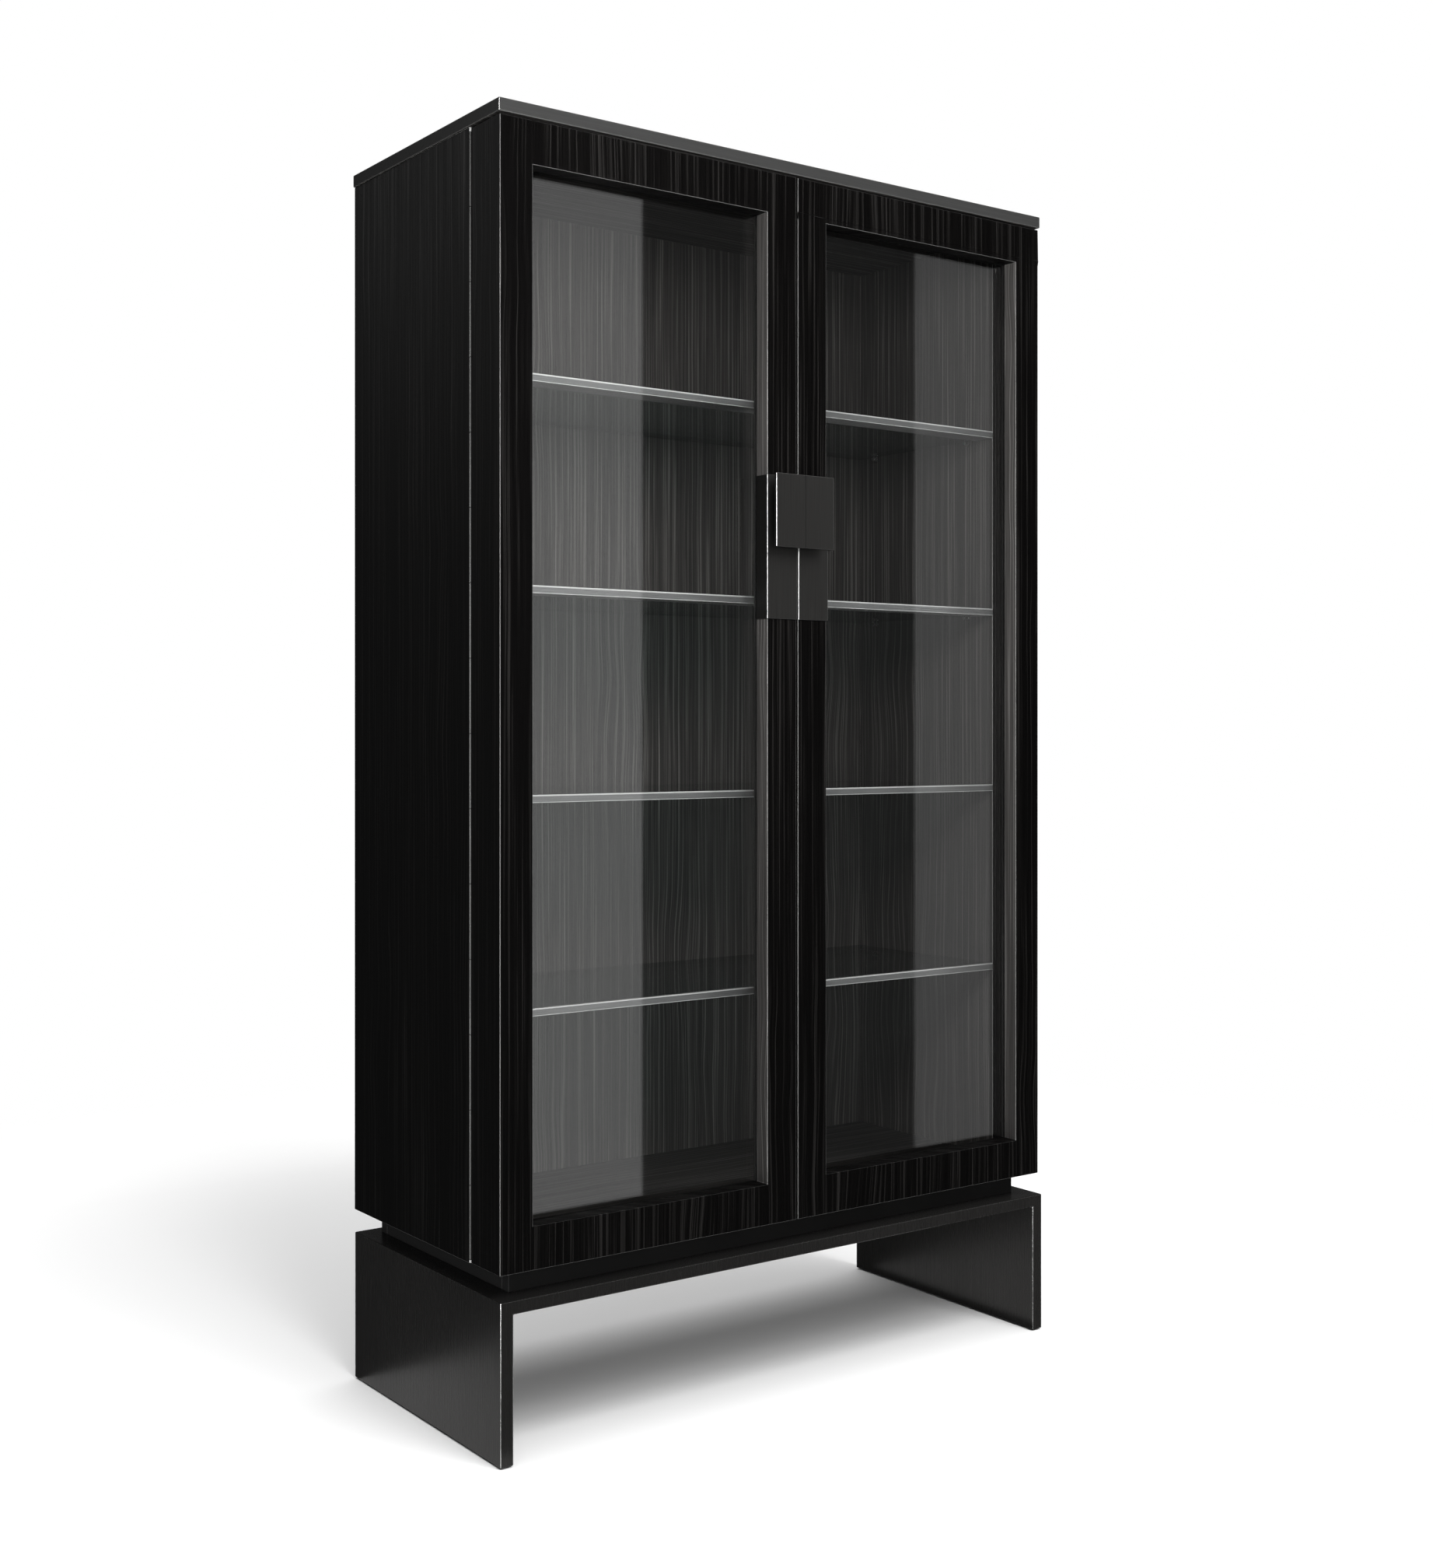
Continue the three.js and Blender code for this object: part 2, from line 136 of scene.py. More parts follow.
# %% [markdown]
# ## The studio
#
# A dark, glossy cabinet shows its lamps more than its own colour, so the lamps are chosen for
# what they leave on each face. The surroundings are white to the eye and dim to everything
# else: a dim room keeps black veneer black. The floor is a pale disc that fades away.

# %% Surroundings and floor
ROOM_GLOW = 0.05                 # how bright the room is to the cabinet itself
FLOOR_REACH = 6.0
FLOOR_TONE = (0.82, 0.82, 0.82, 1)
FADE_START = 1.1                 # the floor is whole up to here
FADE_END = 2.5                   # and gone from here on

world = bpy.data.worlds.new("surroundings")
scene.world = world
world.use_nodes = True
sky = world.node_tree
sky.nodes.clear()
seen_directly = add_node(sky, "ShaderNodeLightPath").outputs["Is Camera Ray"]
dim = add_node(sky, "ShaderNodeBackground", Color=(1, 1, 1, 1), Strength=ROOM_GLOW)
white = add_node(sky, "ShaderNodeBackground", Color=(1, 1, 1, 1), Strength=1.0)
either = add_node(sky, "ShaderNodeMixShader",
                  by_place=[seen_directly, dim.outputs[0], white.outputs[0]])
add_node(sky, "ShaderNodeOutputWorld", Surface=either.outputs[0])

floor_mesh = bpy.data.meshes.new("studio_floor")
corners = [(x * FLOOR_REACH, y * FLOOR_REACH, 0) for x, y in ((-1, -1), (1, -1), (1, 1), (-1, 1))]
floor_mesh.from_pydata(corners, [], [(0, 1, 2, 3)])
floor = bpy.data.objects.new("studio_floor", floor_mesh)
scene.collection.objects.link(floor)

floor_paint = bpy.data.materials.new("studio_floor")
floor_paint.use_nodes = True
tree = floor_paint.node_tree
tree.nodes.clear()
place = add_node(tree, "ShaderNodeTexCoord").outputs["Object"]
distance = add_node(tree, "ShaderNodeVectorMath", {"operation": "LENGTH"}, [place])
fade = add_node(tree, "ShaderNodeMapRange", {"interpolation_type": "SMOOTHSTEP"},
                [distance.outputs["Value"], FADE_START, FADE_END, 0.0, 1.0])
paper = add_node(tree, "ShaderNodeBsdfDiffuse", Color=FLOOR_TONE)
nothing = add_node(tree, "ShaderNodeBsdfTransparent")
shown = add_node(tree, "ShaderNodeMixShader",
                 by_place=[fade.outputs[0], paper.outputs[0], nothing.outputs[0]])
add_node(tree, "ShaderNodeOutputMaterial", Surface=shown.outputs[0])
floor_mesh.materials.append(floor_paint)
floor.visible_glossy = False     # a black cabinet is shot over a floor that it does not mirror
print("floor whole to", FADE_START, "m and gone at", FADE_END, "m")

# %% [markdown]
# The lamps are soft panels, and each has one job. The key stands high at the front right and
# lights the cabinet, and the ceiling lamp and the front fill soften it. The floor has two
# lamps of its own: one high in front draws the shadow, and a wash from above keeps the rest
# pale. A small panel lights the inside through the glass. A panel that lies on the floor and
# faces up lights the base from below, as a pale floor would.
#
# The others are there to be mirrored, and light nothing by themselves. A tall strip at the
# left front gives the rounded edges their thin bright lines. One card is for the shelf rails,
# one for the side, and two upright ones become the pale veils in the door glass.

# %% Lamps
def soft_panel(name, place, aim, size, brightness, **seen_by):
    """A soft rectangular lamp. brightness is the radiance of its face, in watts per square
    metre and steradian, and seen_by switches the kinds of rays that meet it."""
    lamp = bpy.data.lights.new(name, "AREA")
    lamp.shape = "RECTANGLE"
    lamp.size, lamp.size_y = size
    lamp.energy = brightness * math.pi * size[0] * size[1]
    panel = bpy.data.objects.new(name, lamp)
    panel.location = place
    panel.rotation_mode = "QUATERNION"
    panel.rotation_quaternion = (Vector(aim) - Vector(place)).to_track_quat("-Z", "Y")
    panel.visible_camera = False
    for ray, seen in seen_by.items():
        setattr(panel, "visible_" + ray, seen)
    scene.collection.objects.link(panel)
    return panel


MIDDLE = (0, 0, 0.9)
NO_MIRROR = {"glossy": False}    # it lights a part, but no part mirrors it
ONLY_MIRROR = {"diffuse": False}
LAMPS = [                        # name, place, aim, width and height, brightness, seen by
    ("key_lamp", (2.6, -2.4, 3.4), MIDDLE, (2.4, 2.4), 14.0, NO_MIRROR),
    ("floor_key", (0.1, -4.2, 5.0), (0, 0, 0), (3.6, 3.6), 9.4, NO_MIRROR),
    ("floor_wash", (0, 0.8, 4.2), (0, 0.8, 0), (8.0, 8.0), 1.6, NO_MIRROR),
    ("ceiling_lamp", (0, -0.3, 4.2), (0, -0.3, 0), (4.5, 4.5), 1.6, NO_MIRROR),
    ("front_fill", (-0.6, -4.5, 1.3), MIDDLE, (3.0, 2.0), 3.2, NO_MIRROR),
    ("inner_fill", (-0.75, -1.25, 1.68), (-0.2, 0.2, 1.6), (0.9, 0.5), 19.0, NO_MIRROR),
    ("edge_strip", (-3.05, -1.9, 1.0), (-0.5, -0.2, 1.0), (0.9, 3.2), 16.0, ONLY_MIRROR),
    ("rail_card", (1.7, -1.9, 1.3), (1.4, 0, 1.3), (4.4, 3.6), 0.50, ONLY_MIRROR),
    ("floor_glow", (-0.25, -0.02, 0.003), (-0.25, -0.02, 1), (1.4, 0.46), 0.46, {}),
    ("side_card", (-2.9, 3.4, 3.4), (-0.5, 0, 1.6), (2.6, 2.0), 0.6, ONLY_MIRROR),
    ("left_veil_card", (0.64, -2.0, 1.1), (0.64, 0, 1.1), (0.64, 3.4), 0.5, ONLY_MIRROR),
    ("right_veil_card", (2.25, -2.0, 1.1), (2.25, 0, 1.1), (0.72, 3.4), 0.27, ONLY_MIRROR),
]
lamps = {name: soft_panel(name, *sizes, **seen_by) for name, *sizes, seen_by in LAMPS}
print("lamps", list(lamps))

# %% [markdown]
# ## Finishes
#
# Each finish is a recipe of noise on the object's own coordinates, so it stays on the part
# when a door swings. Wood, brushed metal and drawn metal all have a direction. Squeezing the
# coordinates along that direction turns round noise into long fibres or brush lines.

# %% Finish helpers
def start_finish(name):
    material = bpy.data.materials.new(name)
    material.use_nodes = True
    material.node_tree.nodes.clear()
    return material


def grain_place(tree, along, squeeze, shift=0.0):
    """Object coordinates, shortened along the grain and shifted to another part of it."""
    place = add_node(tree, "ShaderNodeTexCoord").outputs["Object"]
    scale = [squeeze if axis == along else 1.0 for axis in "XYZ"]
    return add_node(tree, "ShaderNodeMapping", Vector=place, Scale=scale,
                    Location=(shift, shift, shift)).outputs[0]


def noise(tree, place, scale, detail=2.0, roughness=0.5):
    return add_node(tree, "ShaderNodeTexNoise", Vector=place, Scale=scale, Detail=detail,
                    Roughness=roughness).outputs[0]


def stretch(tree, value, low, high, to_low=0.0, to_high=1.0):
    """value from low..high to to_low..to_high, without going past either end."""
    return add_node(tree, "ShaderNodeMapRange",
                    by_place=[value, low, high, to_low, to_high]).outputs[0]


def mix_colours(tree, share, first, second):
    mixed = add_node(tree, "ShaderNodeMix", {"data_type": "RGBA"})
    plug(tree, mixed.inputs[0], share)
    plug(tree, mixed.inputs[6], first)
    plug(tree, mixed.inputs[7], second)
    return mixed.outputs[2]


def ramp(tree, value, *stops):
    """Colours by position: each stop is (position, (r, g, b))."""
    made = add_node(tree, "ShaderNodeValToRGB", by_place=[value])
    points = made.color_ramp.elements
    while len(points) < len(stops):
        points.new(0.5)
    for point, (position, colour) in zip(points, stops):
        point.position = position
        point.color = (*colour, 1)
    return made.outputs[0]


ROUNDING_STARTS = 0.02           # how far a surface has turned from the nearest axis
ROUNDING_FULL = 0.2


def edge_share(tree):
    """1 on rounded edges and 0 on flat faces, from the part's own surface direction."""
    normal = add_node(tree, "ShaderNodeTexCoord").outputs["Normal"]
    parts = add_node(tree, "ShaderNodeSeparateXYZ", by_place=[normal]).outputs
    x, y, z = [calc(tree, "ABSOLUTE", part) for part in parts]
    steepest = calc(tree, "MAXIMUM", calc(tree, "MAXIMUM", x, y), z)
    return stretch(tree, calc(tree, "SUBTRACT", 1.0, steepest), ROUNDING_STARTS,
                   ROUNDING_FULL)


def upright_and_lower_edges(tree):
    """Shares for the rounded edges that stand upright and for those that look down."""
    share = edge_share(tree)
    normal = add_node(tree, "ShaderNodeTexCoord").outputs["Normal"]
    up = add_node(tree, "ShaderNodeSeparateXYZ", by_place=[normal]).outputs[2]
    upright = stretch(tree, calc(tree, "ABSOLUTE", up), 0.5, 0.2)
    lower = stretch(tree, up, -0.3, -0.5)
    return calc(tree, "MULTIPLY", share, upright), calc(tree, "MULTIPLY", share, lower)


def close_finish(material, colour, roughness, height, depth, **fixed):
    """Ends a recipe with one main shader, its bump, and values set on the shader itself."""
    tree = material.node_tree
    shader = add_node(tree, "ShaderNodeBsdfPrincipled", Base_Color=colour, Roughness=roughness,
                      **fixed)
    bump = add_node(tree, "ShaderNodeBump", Height=height, Strength=1.0, Distance=depth)
    plug(tree, shader.inputs["Normal"], bump.outputs[0])
    add_node(tree, "ShaderNodeOutputMaterial", Surface=shader.outputs[0])
    return material


# %% [markdown]
# ### Veneer
#
# The veneer is nearly black and open-grained, with a satin lacquer. Outside and on the back
# board the grain stands upright, and on the floor and the ceiling it lies across. Four layers
# make it: broad bands, figure lines, fine fibres and short dark pores. The upright edges are
# painted pale and made partly metallic: a painted highlight that also mirrors the strip lamp.
# The lower edges are painted a little paler, a painted highlight for the floor's reflection.

# %% Veneer
FIGURE_SWERVE = 0.034            # how far the grain swerves sideways where it is figured
CALM_SWERVE = 0.003              # and where it is straight
BANDS, LINES, FIBRES, PORES = 11.0, 250.0, 620.0, 800.0     # to the metre, across the grain
# The pale tone of the painted highlights on the rounded edges.
EDGE_HIGHLIGHT_TONE = (0.34, 0.34, 0.335, 1)
UPRIGHT_EDGE_HIGHLIGHT = 0.8                # how far an upright edge goes towards the pale, metallic painted highlight
LOWER_EDGE_HIGHLIGHT = 0.35
VENEER_DEPTH = 0.00006


def veneer(name, along, dark, middle, light, sheen_roughness=0.45, shift=0.0):
    """Figured veneer whose grain runs along one axis, in three tones. All its layers read the
    same bent coordinates, so bands, lines and fibres swerve together round the figure."""
    material = start_finish(name)
    tree = material.node_tree
    place = add_node(tree, "ShaderNodeTexCoord").outputs["Object"]
    x, y, z = add_node(tree, "ShaderNodeSeparateXYZ", by_place=[place]).outputs
    across = calc(tree, "ADD", x if along == "Z" else z, y)
    across = calc(tree, "ADD", across, shift)
    length = z if along == "Z" else x

    def layer(across, per_metre, along_per_metre, detail=2.0, roughness=0.5):
        spot = add_node(tree, "ShaderNodeCombineXYZ",
                        by_place=[calc(tree, "MULTIPLY", across, per_metre),
                                  calc(tree, "MULTIPLY", length, along_per_metre)])
        return add_node(tree, "ShaderNodeTexNoise", {"noise_dimensions": "2D"},
                        Vector=spot.outputs[0], Scale=1.0, Detail=detail,
                        Roughness=roughness).outputs[0]

    calm = stretch(tree, layer(across, 4.0, 1.6, 1.0), 0.50, 0.68, CALM_SWERVE,
                   FIGURE_SWERVE)
    swerve = calc(tree, "SUBTRACT", layer(across, 9.0, 4.0, 1.0), 0.5)
    bent = calc(tree, "MULTIPLY_ADD", swerve, calm, across)
    bands = layer(bent, BANDS, 0.25)
    lines = stretch(tree, layer(bent, LINES, 1.3, 2.5, 0.7), 0.50, 0.70)
    fibres = layer(bent, FIBRES, 3.0, 2.0, 0.6)
    open_pores = stretch(tree, layer(bent, PORES, 14.0, 1.0), 0.34, 0.46, 1.0, 0.0)
    tone = calc(tree, "MULTIPLY", bands, 0.26)
    tone = calc(tree, "MULTIPLY_ADD", fibres, 0.40, tone)
    tone = calc(tree, "MULTIPLY_ADD", lines, 0.42, tone)
    tone = calc(tree, "MULTIPLY_ADD", open_pores, -0.05, tone)
    colour = ramp(tree, tone, (0.28, dark), (0.46, middle), (0.80, light))
    upright, lower = upright_and_lower_edges(tree)
    # Painted highlights: upright edges turn pale and metallic, lower edges only paler.
    edge_highlight = calc(tree, "MULTIPLY", upright, UPRIGHT_EDGE_HIGHLIGHT)
    colour = mix_colours(tree, edge_highlight, colour, EDGE_HIGHLIGHT_TONE)
    colour = mix_colours(tree, calc(tree, "MULTIPLY", lower, LOWER_EDGE_HIGHLIGHT), colour, EDGE_HIGHLIGHT_TONE)
    roughness = stretch(tree, tone, 0.3, 0.8, sheen_roughness + 0.08, sheen_roughness - 0.1)
    height = calc(tree, "MULTIPLY_ADD", open_pores, -0.7, calc(tree, "MULTIPLY", fibres, 0.6))
    return close_finish(material, colour, roughness, height, VENEER_DEPTH, Metallic=edge_highlight,
                        Specular_IOR_Level=0.15)


BLACK_TONES = [(0.0008, 0.0007, 0.0007), (0.0021, 0.0019, 0.0018), (0.013, 0.0123, 0.0119)]
GREY_TONES = [(0.020, 0.0186, 0.0177), (0.047, 0.0437, 0.0418), (0.124, 0.117, 0.112)]
BOARD_TONES = [(0.008, 0.0075, 0.0071), (0.018, 0.0169, 0.016), (0.062, 0.059, 0.057)]
# The ceiling's tones are paler than the floor board's: painted light for the light reaching it.
CEILING_PAINTED_LIGHT_TONES = [(0.022, 0.0210, 0.020), (0.052, 0.049, 0.047), (0.150, 0.144, 0.139)]
# The reveal tones are paler than the grey veneer: painted light on the window's upright sides.
REVEAL_PAINTED_LIGHT_TONES = [(0.045, 0.0428, 0.041), (0.085, 0.081, 0.078), (0.170, 0.164, 0.159)]
black_veneer = veneer("black_veneer", "Z", *BLACK_TONES)
wall_veneer = veneer("wall_veneer", "Z", *BLACK_TONES, shift=3.7)
grey_veneer = veneer("grey_veneer", "Z", *GREY_TONES, sheen_roughness=0.5, shift=1.3)
board_veneer = veneer("board_veneer", "X", *BOARD_TONES, sheen_roughness=0.5, shift=5.1)
ceiling_veneer = veneer("ceiling_veneer", "X", *CEILING_PAINTED_LIGHT_TONES, sheen_roughness=0.5, shift=7.4)
reveal_veneer = veneer("reveal_veneer", "Z", *REVEAL_PAINTED_LIGHT_TONES, sheen_roughness=0.5, shift=2.2)
print("veneers", [m.name for m in bpy.data.materials if m.name.endswith("_veneer")])

# %% [markdown]
# ### Metals, lacquers and rubber
#
# The pull and its plates are a satin gunmetal, and the base and the top wear a dark lacquer
# with the same faint brush lines. The shelf rails are drawn aluminium, and their lips carry a
# painted highlight. The shelf pins, screws and catch plates are bright steel, and the hinges are
# dark steel. One recipe serves them all, each with its own colour, brush direction and share of
# painted highlight on its edges. The black plinth, the beads and the rubber strips are matt, so
# they have a recipe apart.

# %% Brushed and drawn finishes
EDGE_HIGHLIGHT_PALE = (0.80, 0.80, 0.79, 1)


def brushed(name, along, dark, light, metallic, roughness, line_scale=1100.0, depth=0.00003,
            shine=1.0, all_edges=False, **fixed):
    """A directional satin finish: fine lines along one axis over faint clouds. Its upright
    edges, or all its edges, get a painted highlight, a pale colour that is also more metallic and
    smoother so that it mirrors the strip lamp, by the share that shine gives."""
    material = start_finish(name)
    tree = material.node_tree
    lines = noise(tree, grain_place(tree, along, 0.01), line_scale, 2.0, 0.6)
    clouds = noise(tree, grain_place(tree, along, 0.5), 5.0, 2.0)
    tone = calc(tree, "MULTIPLY_ADD", lines, 0.6, calc(tree, "MULTIPLY", clouds, 0.4))
    colour = ramp(tree, tone, (0.36, dark), (0.64, light))
    edge = edge_share(tree) if all_edges else upright_and_lower_edges(tree)[0]
    edge = calc(tree, "MULTIPLY", edge, shine)
    # Painted highlight: rounded edges turn pale, more metallic and smoother, so they also mirror
    # the strip lamp.
    colour = mix_colours(tree, edge, colour, EDGE_HIGHLIGHT_PALE)
    bare = stretch(tree, edge, 0.0, 1.0, metallic, max(metallic, 0.95))
    spread = stretch(tree, tone, 0.35, 0.65, roughness + 0.06, roughness - 0.06)
    spread = stretch(tree, edge, 0.0, 1.0, spread, 0.22)
    height = calc(tree, "MULTIPLY", lines, calc(tree, "SUBTRACT", 1.0, edge))
    return close_finish(material, colour, spread, height, depth, Metallic=bare, **fixed)


gunmetal = brushed("gunmetal", "Z", (0.020, 0.0196, 0.0188), (0.030, 0.0292, 0.028), 0.25, 0.42)
base_lacquer = brushed("base_lacquer", "Z", (0.031, 0.030, 0.029), (0.043, 0.0415, 0.040), 0.7,
                       0.28, Coat_Weight=0.1, Coat_Roughness=0.25)
top_lacquer = brushed("top_lacquer", "X", (0.022, 0.022, 0.0217), (0.029, 0.029, 0.0286), 0.1,
                      0.45, line_scale=700.0)
aluminium = brushed("aluminium", "X", (0.17, 0.175, 0.175), (0.25, 0.255, 0.255), 0.55, 0.32,
                    all_edges=True)
# A pale metal for the rail lips: a painted highlight.
bright_lip = brushed("bright_lip", "X", (0.70, 0.71, 0.70), (0.82, 0.83, 0.82), 0.4, 0.3)
steel = brushed("steel", "Z", (0.50, 0.50, 0.49), (0.64, 0.64, 0.63), 1.0, 0.28, shine=0.0)
dark_steel = brushed("dark_steel", "Z", (0.070, 0.070, 0.069), (0.110, 0.110, 0.108), 0.8, 0.42,
                     shine=0.0)
metals = (gunmetal, base_lacquer, top_lacquer, aluminium, bright_lip, steel, dark_steel)
print("metals and lacquers", [metal.name for metal in metals])


# %% Matt finishes
def matt(name, dark, light, roughness, grit_scale, depth):
    """A dull finish with fine grit and slow changes of tone, for paint, rubber and plastic."""
    material = start_finish(name)
    tree = material.node_tree
    place = grain_place(tree, "Z", 1.0)
    grit = noise(tree, place, grit_scale, 3.0, 0.6)
    clouds = noise(tree, place, 8.0, 2.0)
    tone = calc(tree, "MULTIPLY_ADD", grit, 0.5, calc(tree, "MULTIPLY", clouds, 0.5))
    colour = ramp(tree, tone, (0.35, dark), (0.65, light))
    # Painted highlight: the rounded edges are mixed towards a tone twice as pale as the light
    # one.
    colour = mix_colours(tree, calc(tree, "MULTIPLY", edge_share(tree), 0.5), colour,
                         (*[2.0 * part for part in light], 1))
    spread = stretch(tree, grit, 0.3, 0.7, roughness - 0.08, roughness + 0.08)
    return close_finish(material, colour, spread, grit, depth)


plinth_black = matt("plinth_black", (0.0030, 0.0028, 0.0028), (0.0065, 0.0062, 0.006), 0.62,
                    900.0, 0.00004)
rubber = matt("rubber", (0.006, 0.006, 0.006), (0.012, 0.012, 0.0118), 0.8, 1500.0, 0.00006)
print("matt finishes", plinth_black.name, rubber.name)

# %% [markdown]
# ### Glass
#
# A flat pane does not bend what is behind it, so a see-through shader with a mirror on top is
# enough, and it lets lamps shine in without noise. The mirror has a small share when the pane
# is looked at squarely and grows towards a grazing view. The share is worked out from the
# facing angle, because it is the same on both sides of a pane. The cut edges of a shelf look
# down the length of the glass, so they are deep green.

# %% Glass
HEAD_ON_MIRROR = 0.08            # what a pane mirrors when looked at squarely


def glass(name, broad, tint, edge_tint, haze):
    """Flat glass whose broad faces look along the axis broad."""
    material = start_finish(name)
    tree = material.node_tree
    normal = add_node(tree, "ShaderNodeTexCoord").outputs["Normal"]
    parts = add_node(tree, "ShaderNodeSeparateXYZ", by_place=[normal]).outputs
    facing_out = calc(tree, "ABSOLUTE", parts["XYZ".index(broad)])
    on_edge = stretch(tree, facing_out, 0.9, 0.4)
    colour = mix_colours(tree, on_edge, (*tint, 1), (*edge_tint, 1))
    wiped = noise(tree, grain_place(tree, "Z", 0.4), 6.0, 3.0, 0.6)
    through = add_node(tree, "ShaderNodeBsdfTransparent", Color=colour)
    mirror = add_node(tree, "ShaderNodeBsdfGlossy", Color=(1, 1, 1, 1),
                      Roughness=stretch(tree, wiped, 0.3, 0.7, haze * 0.6, haze * 1.4))
    grazing = add_node(tree, "ShaderNodeLayerWeight", Blend=0.5).outputs["Facing"]
    share = calc(tree, "MULTIPLY_ADD", calc(tree, "POWER", grazing, 5.0),
                 1.0 - HEAD_ON_MIRROR, HEAD_ON_MIRROR)
    pane = add_node(tree, "ShaderNodeMixShader",
                    by_place=[share, through.outputs[0], mirror.outputs[0]])
    add_node(tree, "ShaderNodeOutputMaterial", Surface=pane.outputs[0])
    return material


clear_glass = glass("clear_glass", "Y", (0.984, 0.986, 0.984), (0.55, 0.75, 0.68), 0.02)
shelf_glass = glass("shelf_glass", "Z", (0.68, 0.76, 0.75), (0.10, 0.24, 0.20), 0.03)
print("glass", clear_glass.name, shelf_glass.name)

# %% [markdown]
# ## Building blocks for the parts
#
# Real boards and plates never have knife edges: a millimetre of rounding is what catches the
# light. So each part is a clean, merged copy of its frame part, or a new solid on the same
# planes, and a Bevel modifier rounds it. Hardened normals keep the broad faces truly flat.
# A part may have a second finish, which some of its faces take.

# %% Part helpers
CLOSE = 0.1 * MM                 # nearer than this counts as the same place


def reach(low, high):
    """How far a box's near and far sides stand from the cabinet's middle plane."""
    return sorted((abs(low.x), abs(high.x)))


def paint_faces(part, chosen):
    """Gives the chosen faces the part's second finish and the rest its first."""
    for face in part.data.polygons:
        face.material_index = 1 if chosen(face) else 0


def add_part(name, mesh, body, slot, finishes, *nodes):
    """Puts a mesh in the scene as a part of one body that stands for frame parts."""
    part = bpy.data.objects.new(name, mesh)
    scene.collection.objects.link(part)
    for finish in finishes:
        mesh.materials.append(finish)
    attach(part, body)
    if nodes:
        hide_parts(*nodes)
    return part


def mesh_from(work, name):
    bmesh.ops.recalc_face_normals(work, faces=work.faces)
    mesh = bpy.data.meshes.new(name)
    work.to_mesh(mesh)
    work.free()
    return mesh


def merged_copy(node, name):
    """A copy of a frame part with shared corners and whole flat faces."""
    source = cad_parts[node].data
    work = bmesh.new()
    corners = [work.verts.new(v.co) for v in source.vertices]
    for face in source.polygons:
        work.faces.new([corners[i] for i in face.vertices])
    bmesh.ops.remove_doubles(work, verts=work.verts, dist=0.01 * MM)
    bmesh.ops.dissolve_limit(work, angle_limit=math.radians(1), verts=work.verts,
                             edges=work.edges)
    return mesh_from(work, name)


def cell_solid(xs, ys, zs, filled):
    """A closed solid made of those cells of a box grid whose middles are filled."""
    planes = (sorted(xs), sorted(ys), sorted(zs))
    cells = {
        (i, j, k)
        for i in range(len(xs) - 1) for j in range(len(ys) - 1) for k in range(len(zs) - 1)
        if filled(*[(planes[a][n] + planes[a][n + 1]) / 2 for a, n in enumerate((i, j, k))])
    }
    work = bmesh.new()
    corners = {}

    def corner(spot):
        if spot not in corners:
            corners[spot] = work.verts.new([planes[a][n] for a, n in enumerate(spot)])
        return corners[spot]

    for cell in sorted(cells):
        for axis in range(3):
            for step in (0, 1):
                beside = list(cell)
                beside[axis] += 2 * step - 1
                if tuple(beside) in cells:
                    continue
                across, up = [n for n in range(3) if n != axis]
                ring = []
                for da, db in ((0, 0), (1, 0), (1, 1), (0, 1)):
                    spot = list(cell)
                    spot[axis] += step
                    spot[across] += da
                    spot[up] += db
                    ring.append(corner(tuple(spot)))
                work.faces.new(ring)
    return work


def chamfer_upright_edge(work, x, y, size):
    """Cuts a flat chamfer along the upright edge at x, y."""
    on_edge = [
        e for e in work.edges
        if all(abs(v.co.x - x) < CLOSE and abs(v.co.y - y) < CLOSE for v in e.verts)
    ]
    bmesh.ops.bevel(work, geom=on_edge, offset=size, segments=1, profile=0.5, affect="EDGES")


def round_edges(part, radius, segments=2, seam=None):
    """Rounds the part's edges, apart from those in the plane |x| = seam, where two parts that
    should look like one meet. Those stay sharp, so that no bright line runs along the seam."""
    for face in part.data.polygons:
        face.use_smooth = True
    bevel = part.modifiers.new("rounded edges", "BEVEL")
    bevel.width = radius
    bevel.segments = segments
    bevel.limit_method = "ANGLE"
    bevel.angle_limit = math.radians(35)
    bevel.harden_normals = True
    if seam is not None:
        bevel.limit_method = "WEIGHT"
        places = [vertex.co for vertex in part.data.vertices]
        weights = part.data.attributes.new("bevel_weight_edge", "FLOAT", "EDGE")
        for edge, weight in zip(part.data.edges, weights.data):
            edge.use_edge_sharp = all(abs(abs(places[n].x) - seam) < CLOSE
                                      for n in edge.vertices)
            weight.value = 0.0 if edge.use_edge_sharp else 1.0
    return part


def rounded_part(node, name, body, slot, finish, radius):
    """The usual case: a merged copy of one frame part with its edges rounded."""
    part = add_part(name, merged_copy(node, name), body, slot, [finish], node)
    return round_edges(part, radius)


# %% [markdown]
# ## The base
#
# The base is one bridge under a dark lacquer: a flat top and two side walls, mitred so that no
# joint shows. The frame has it as three solids, and here they are one.

# %% Base, glides and plinth
leg_low, leg_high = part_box("base_left_leg")
slab_low, slab_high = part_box("base_top_slab")
bridge_half = -leg_low.x
leg_inner = -leg_high.x
base_work = cell_solid(
    [-bridge_half, -leg_inner, leg_inner, bridge_half],
    [slab_low.y, slab_high.y],
    [leg_low.z, slab_low.z, slab_high.z],
    lambda x, y, z: z > slab_low.z or abs(x) > leg_inner,
)
base = add_part("base_bridge", mesh_from(base_work, "base_bridge"), "cabinet", "base_lacquer",
                [base_lacquer], "base_top_slab", "base_left_leg", "base_right_leg")
round_edges(base, 1.8 * MM)
for side in SIDES:
    rounded_part(f"{side}_leg_glide", f"{side}_glide_strip", "cabinet", "rubber", rubber,
                 0.5 * MM)
for place in ("front", "back", "left", "right"):
    rounded_part(f"plinth_{place}", f"plinth_rail_{place}", "cabinet", "plinth_black",
                 plinth_black, 0.6 * MM)
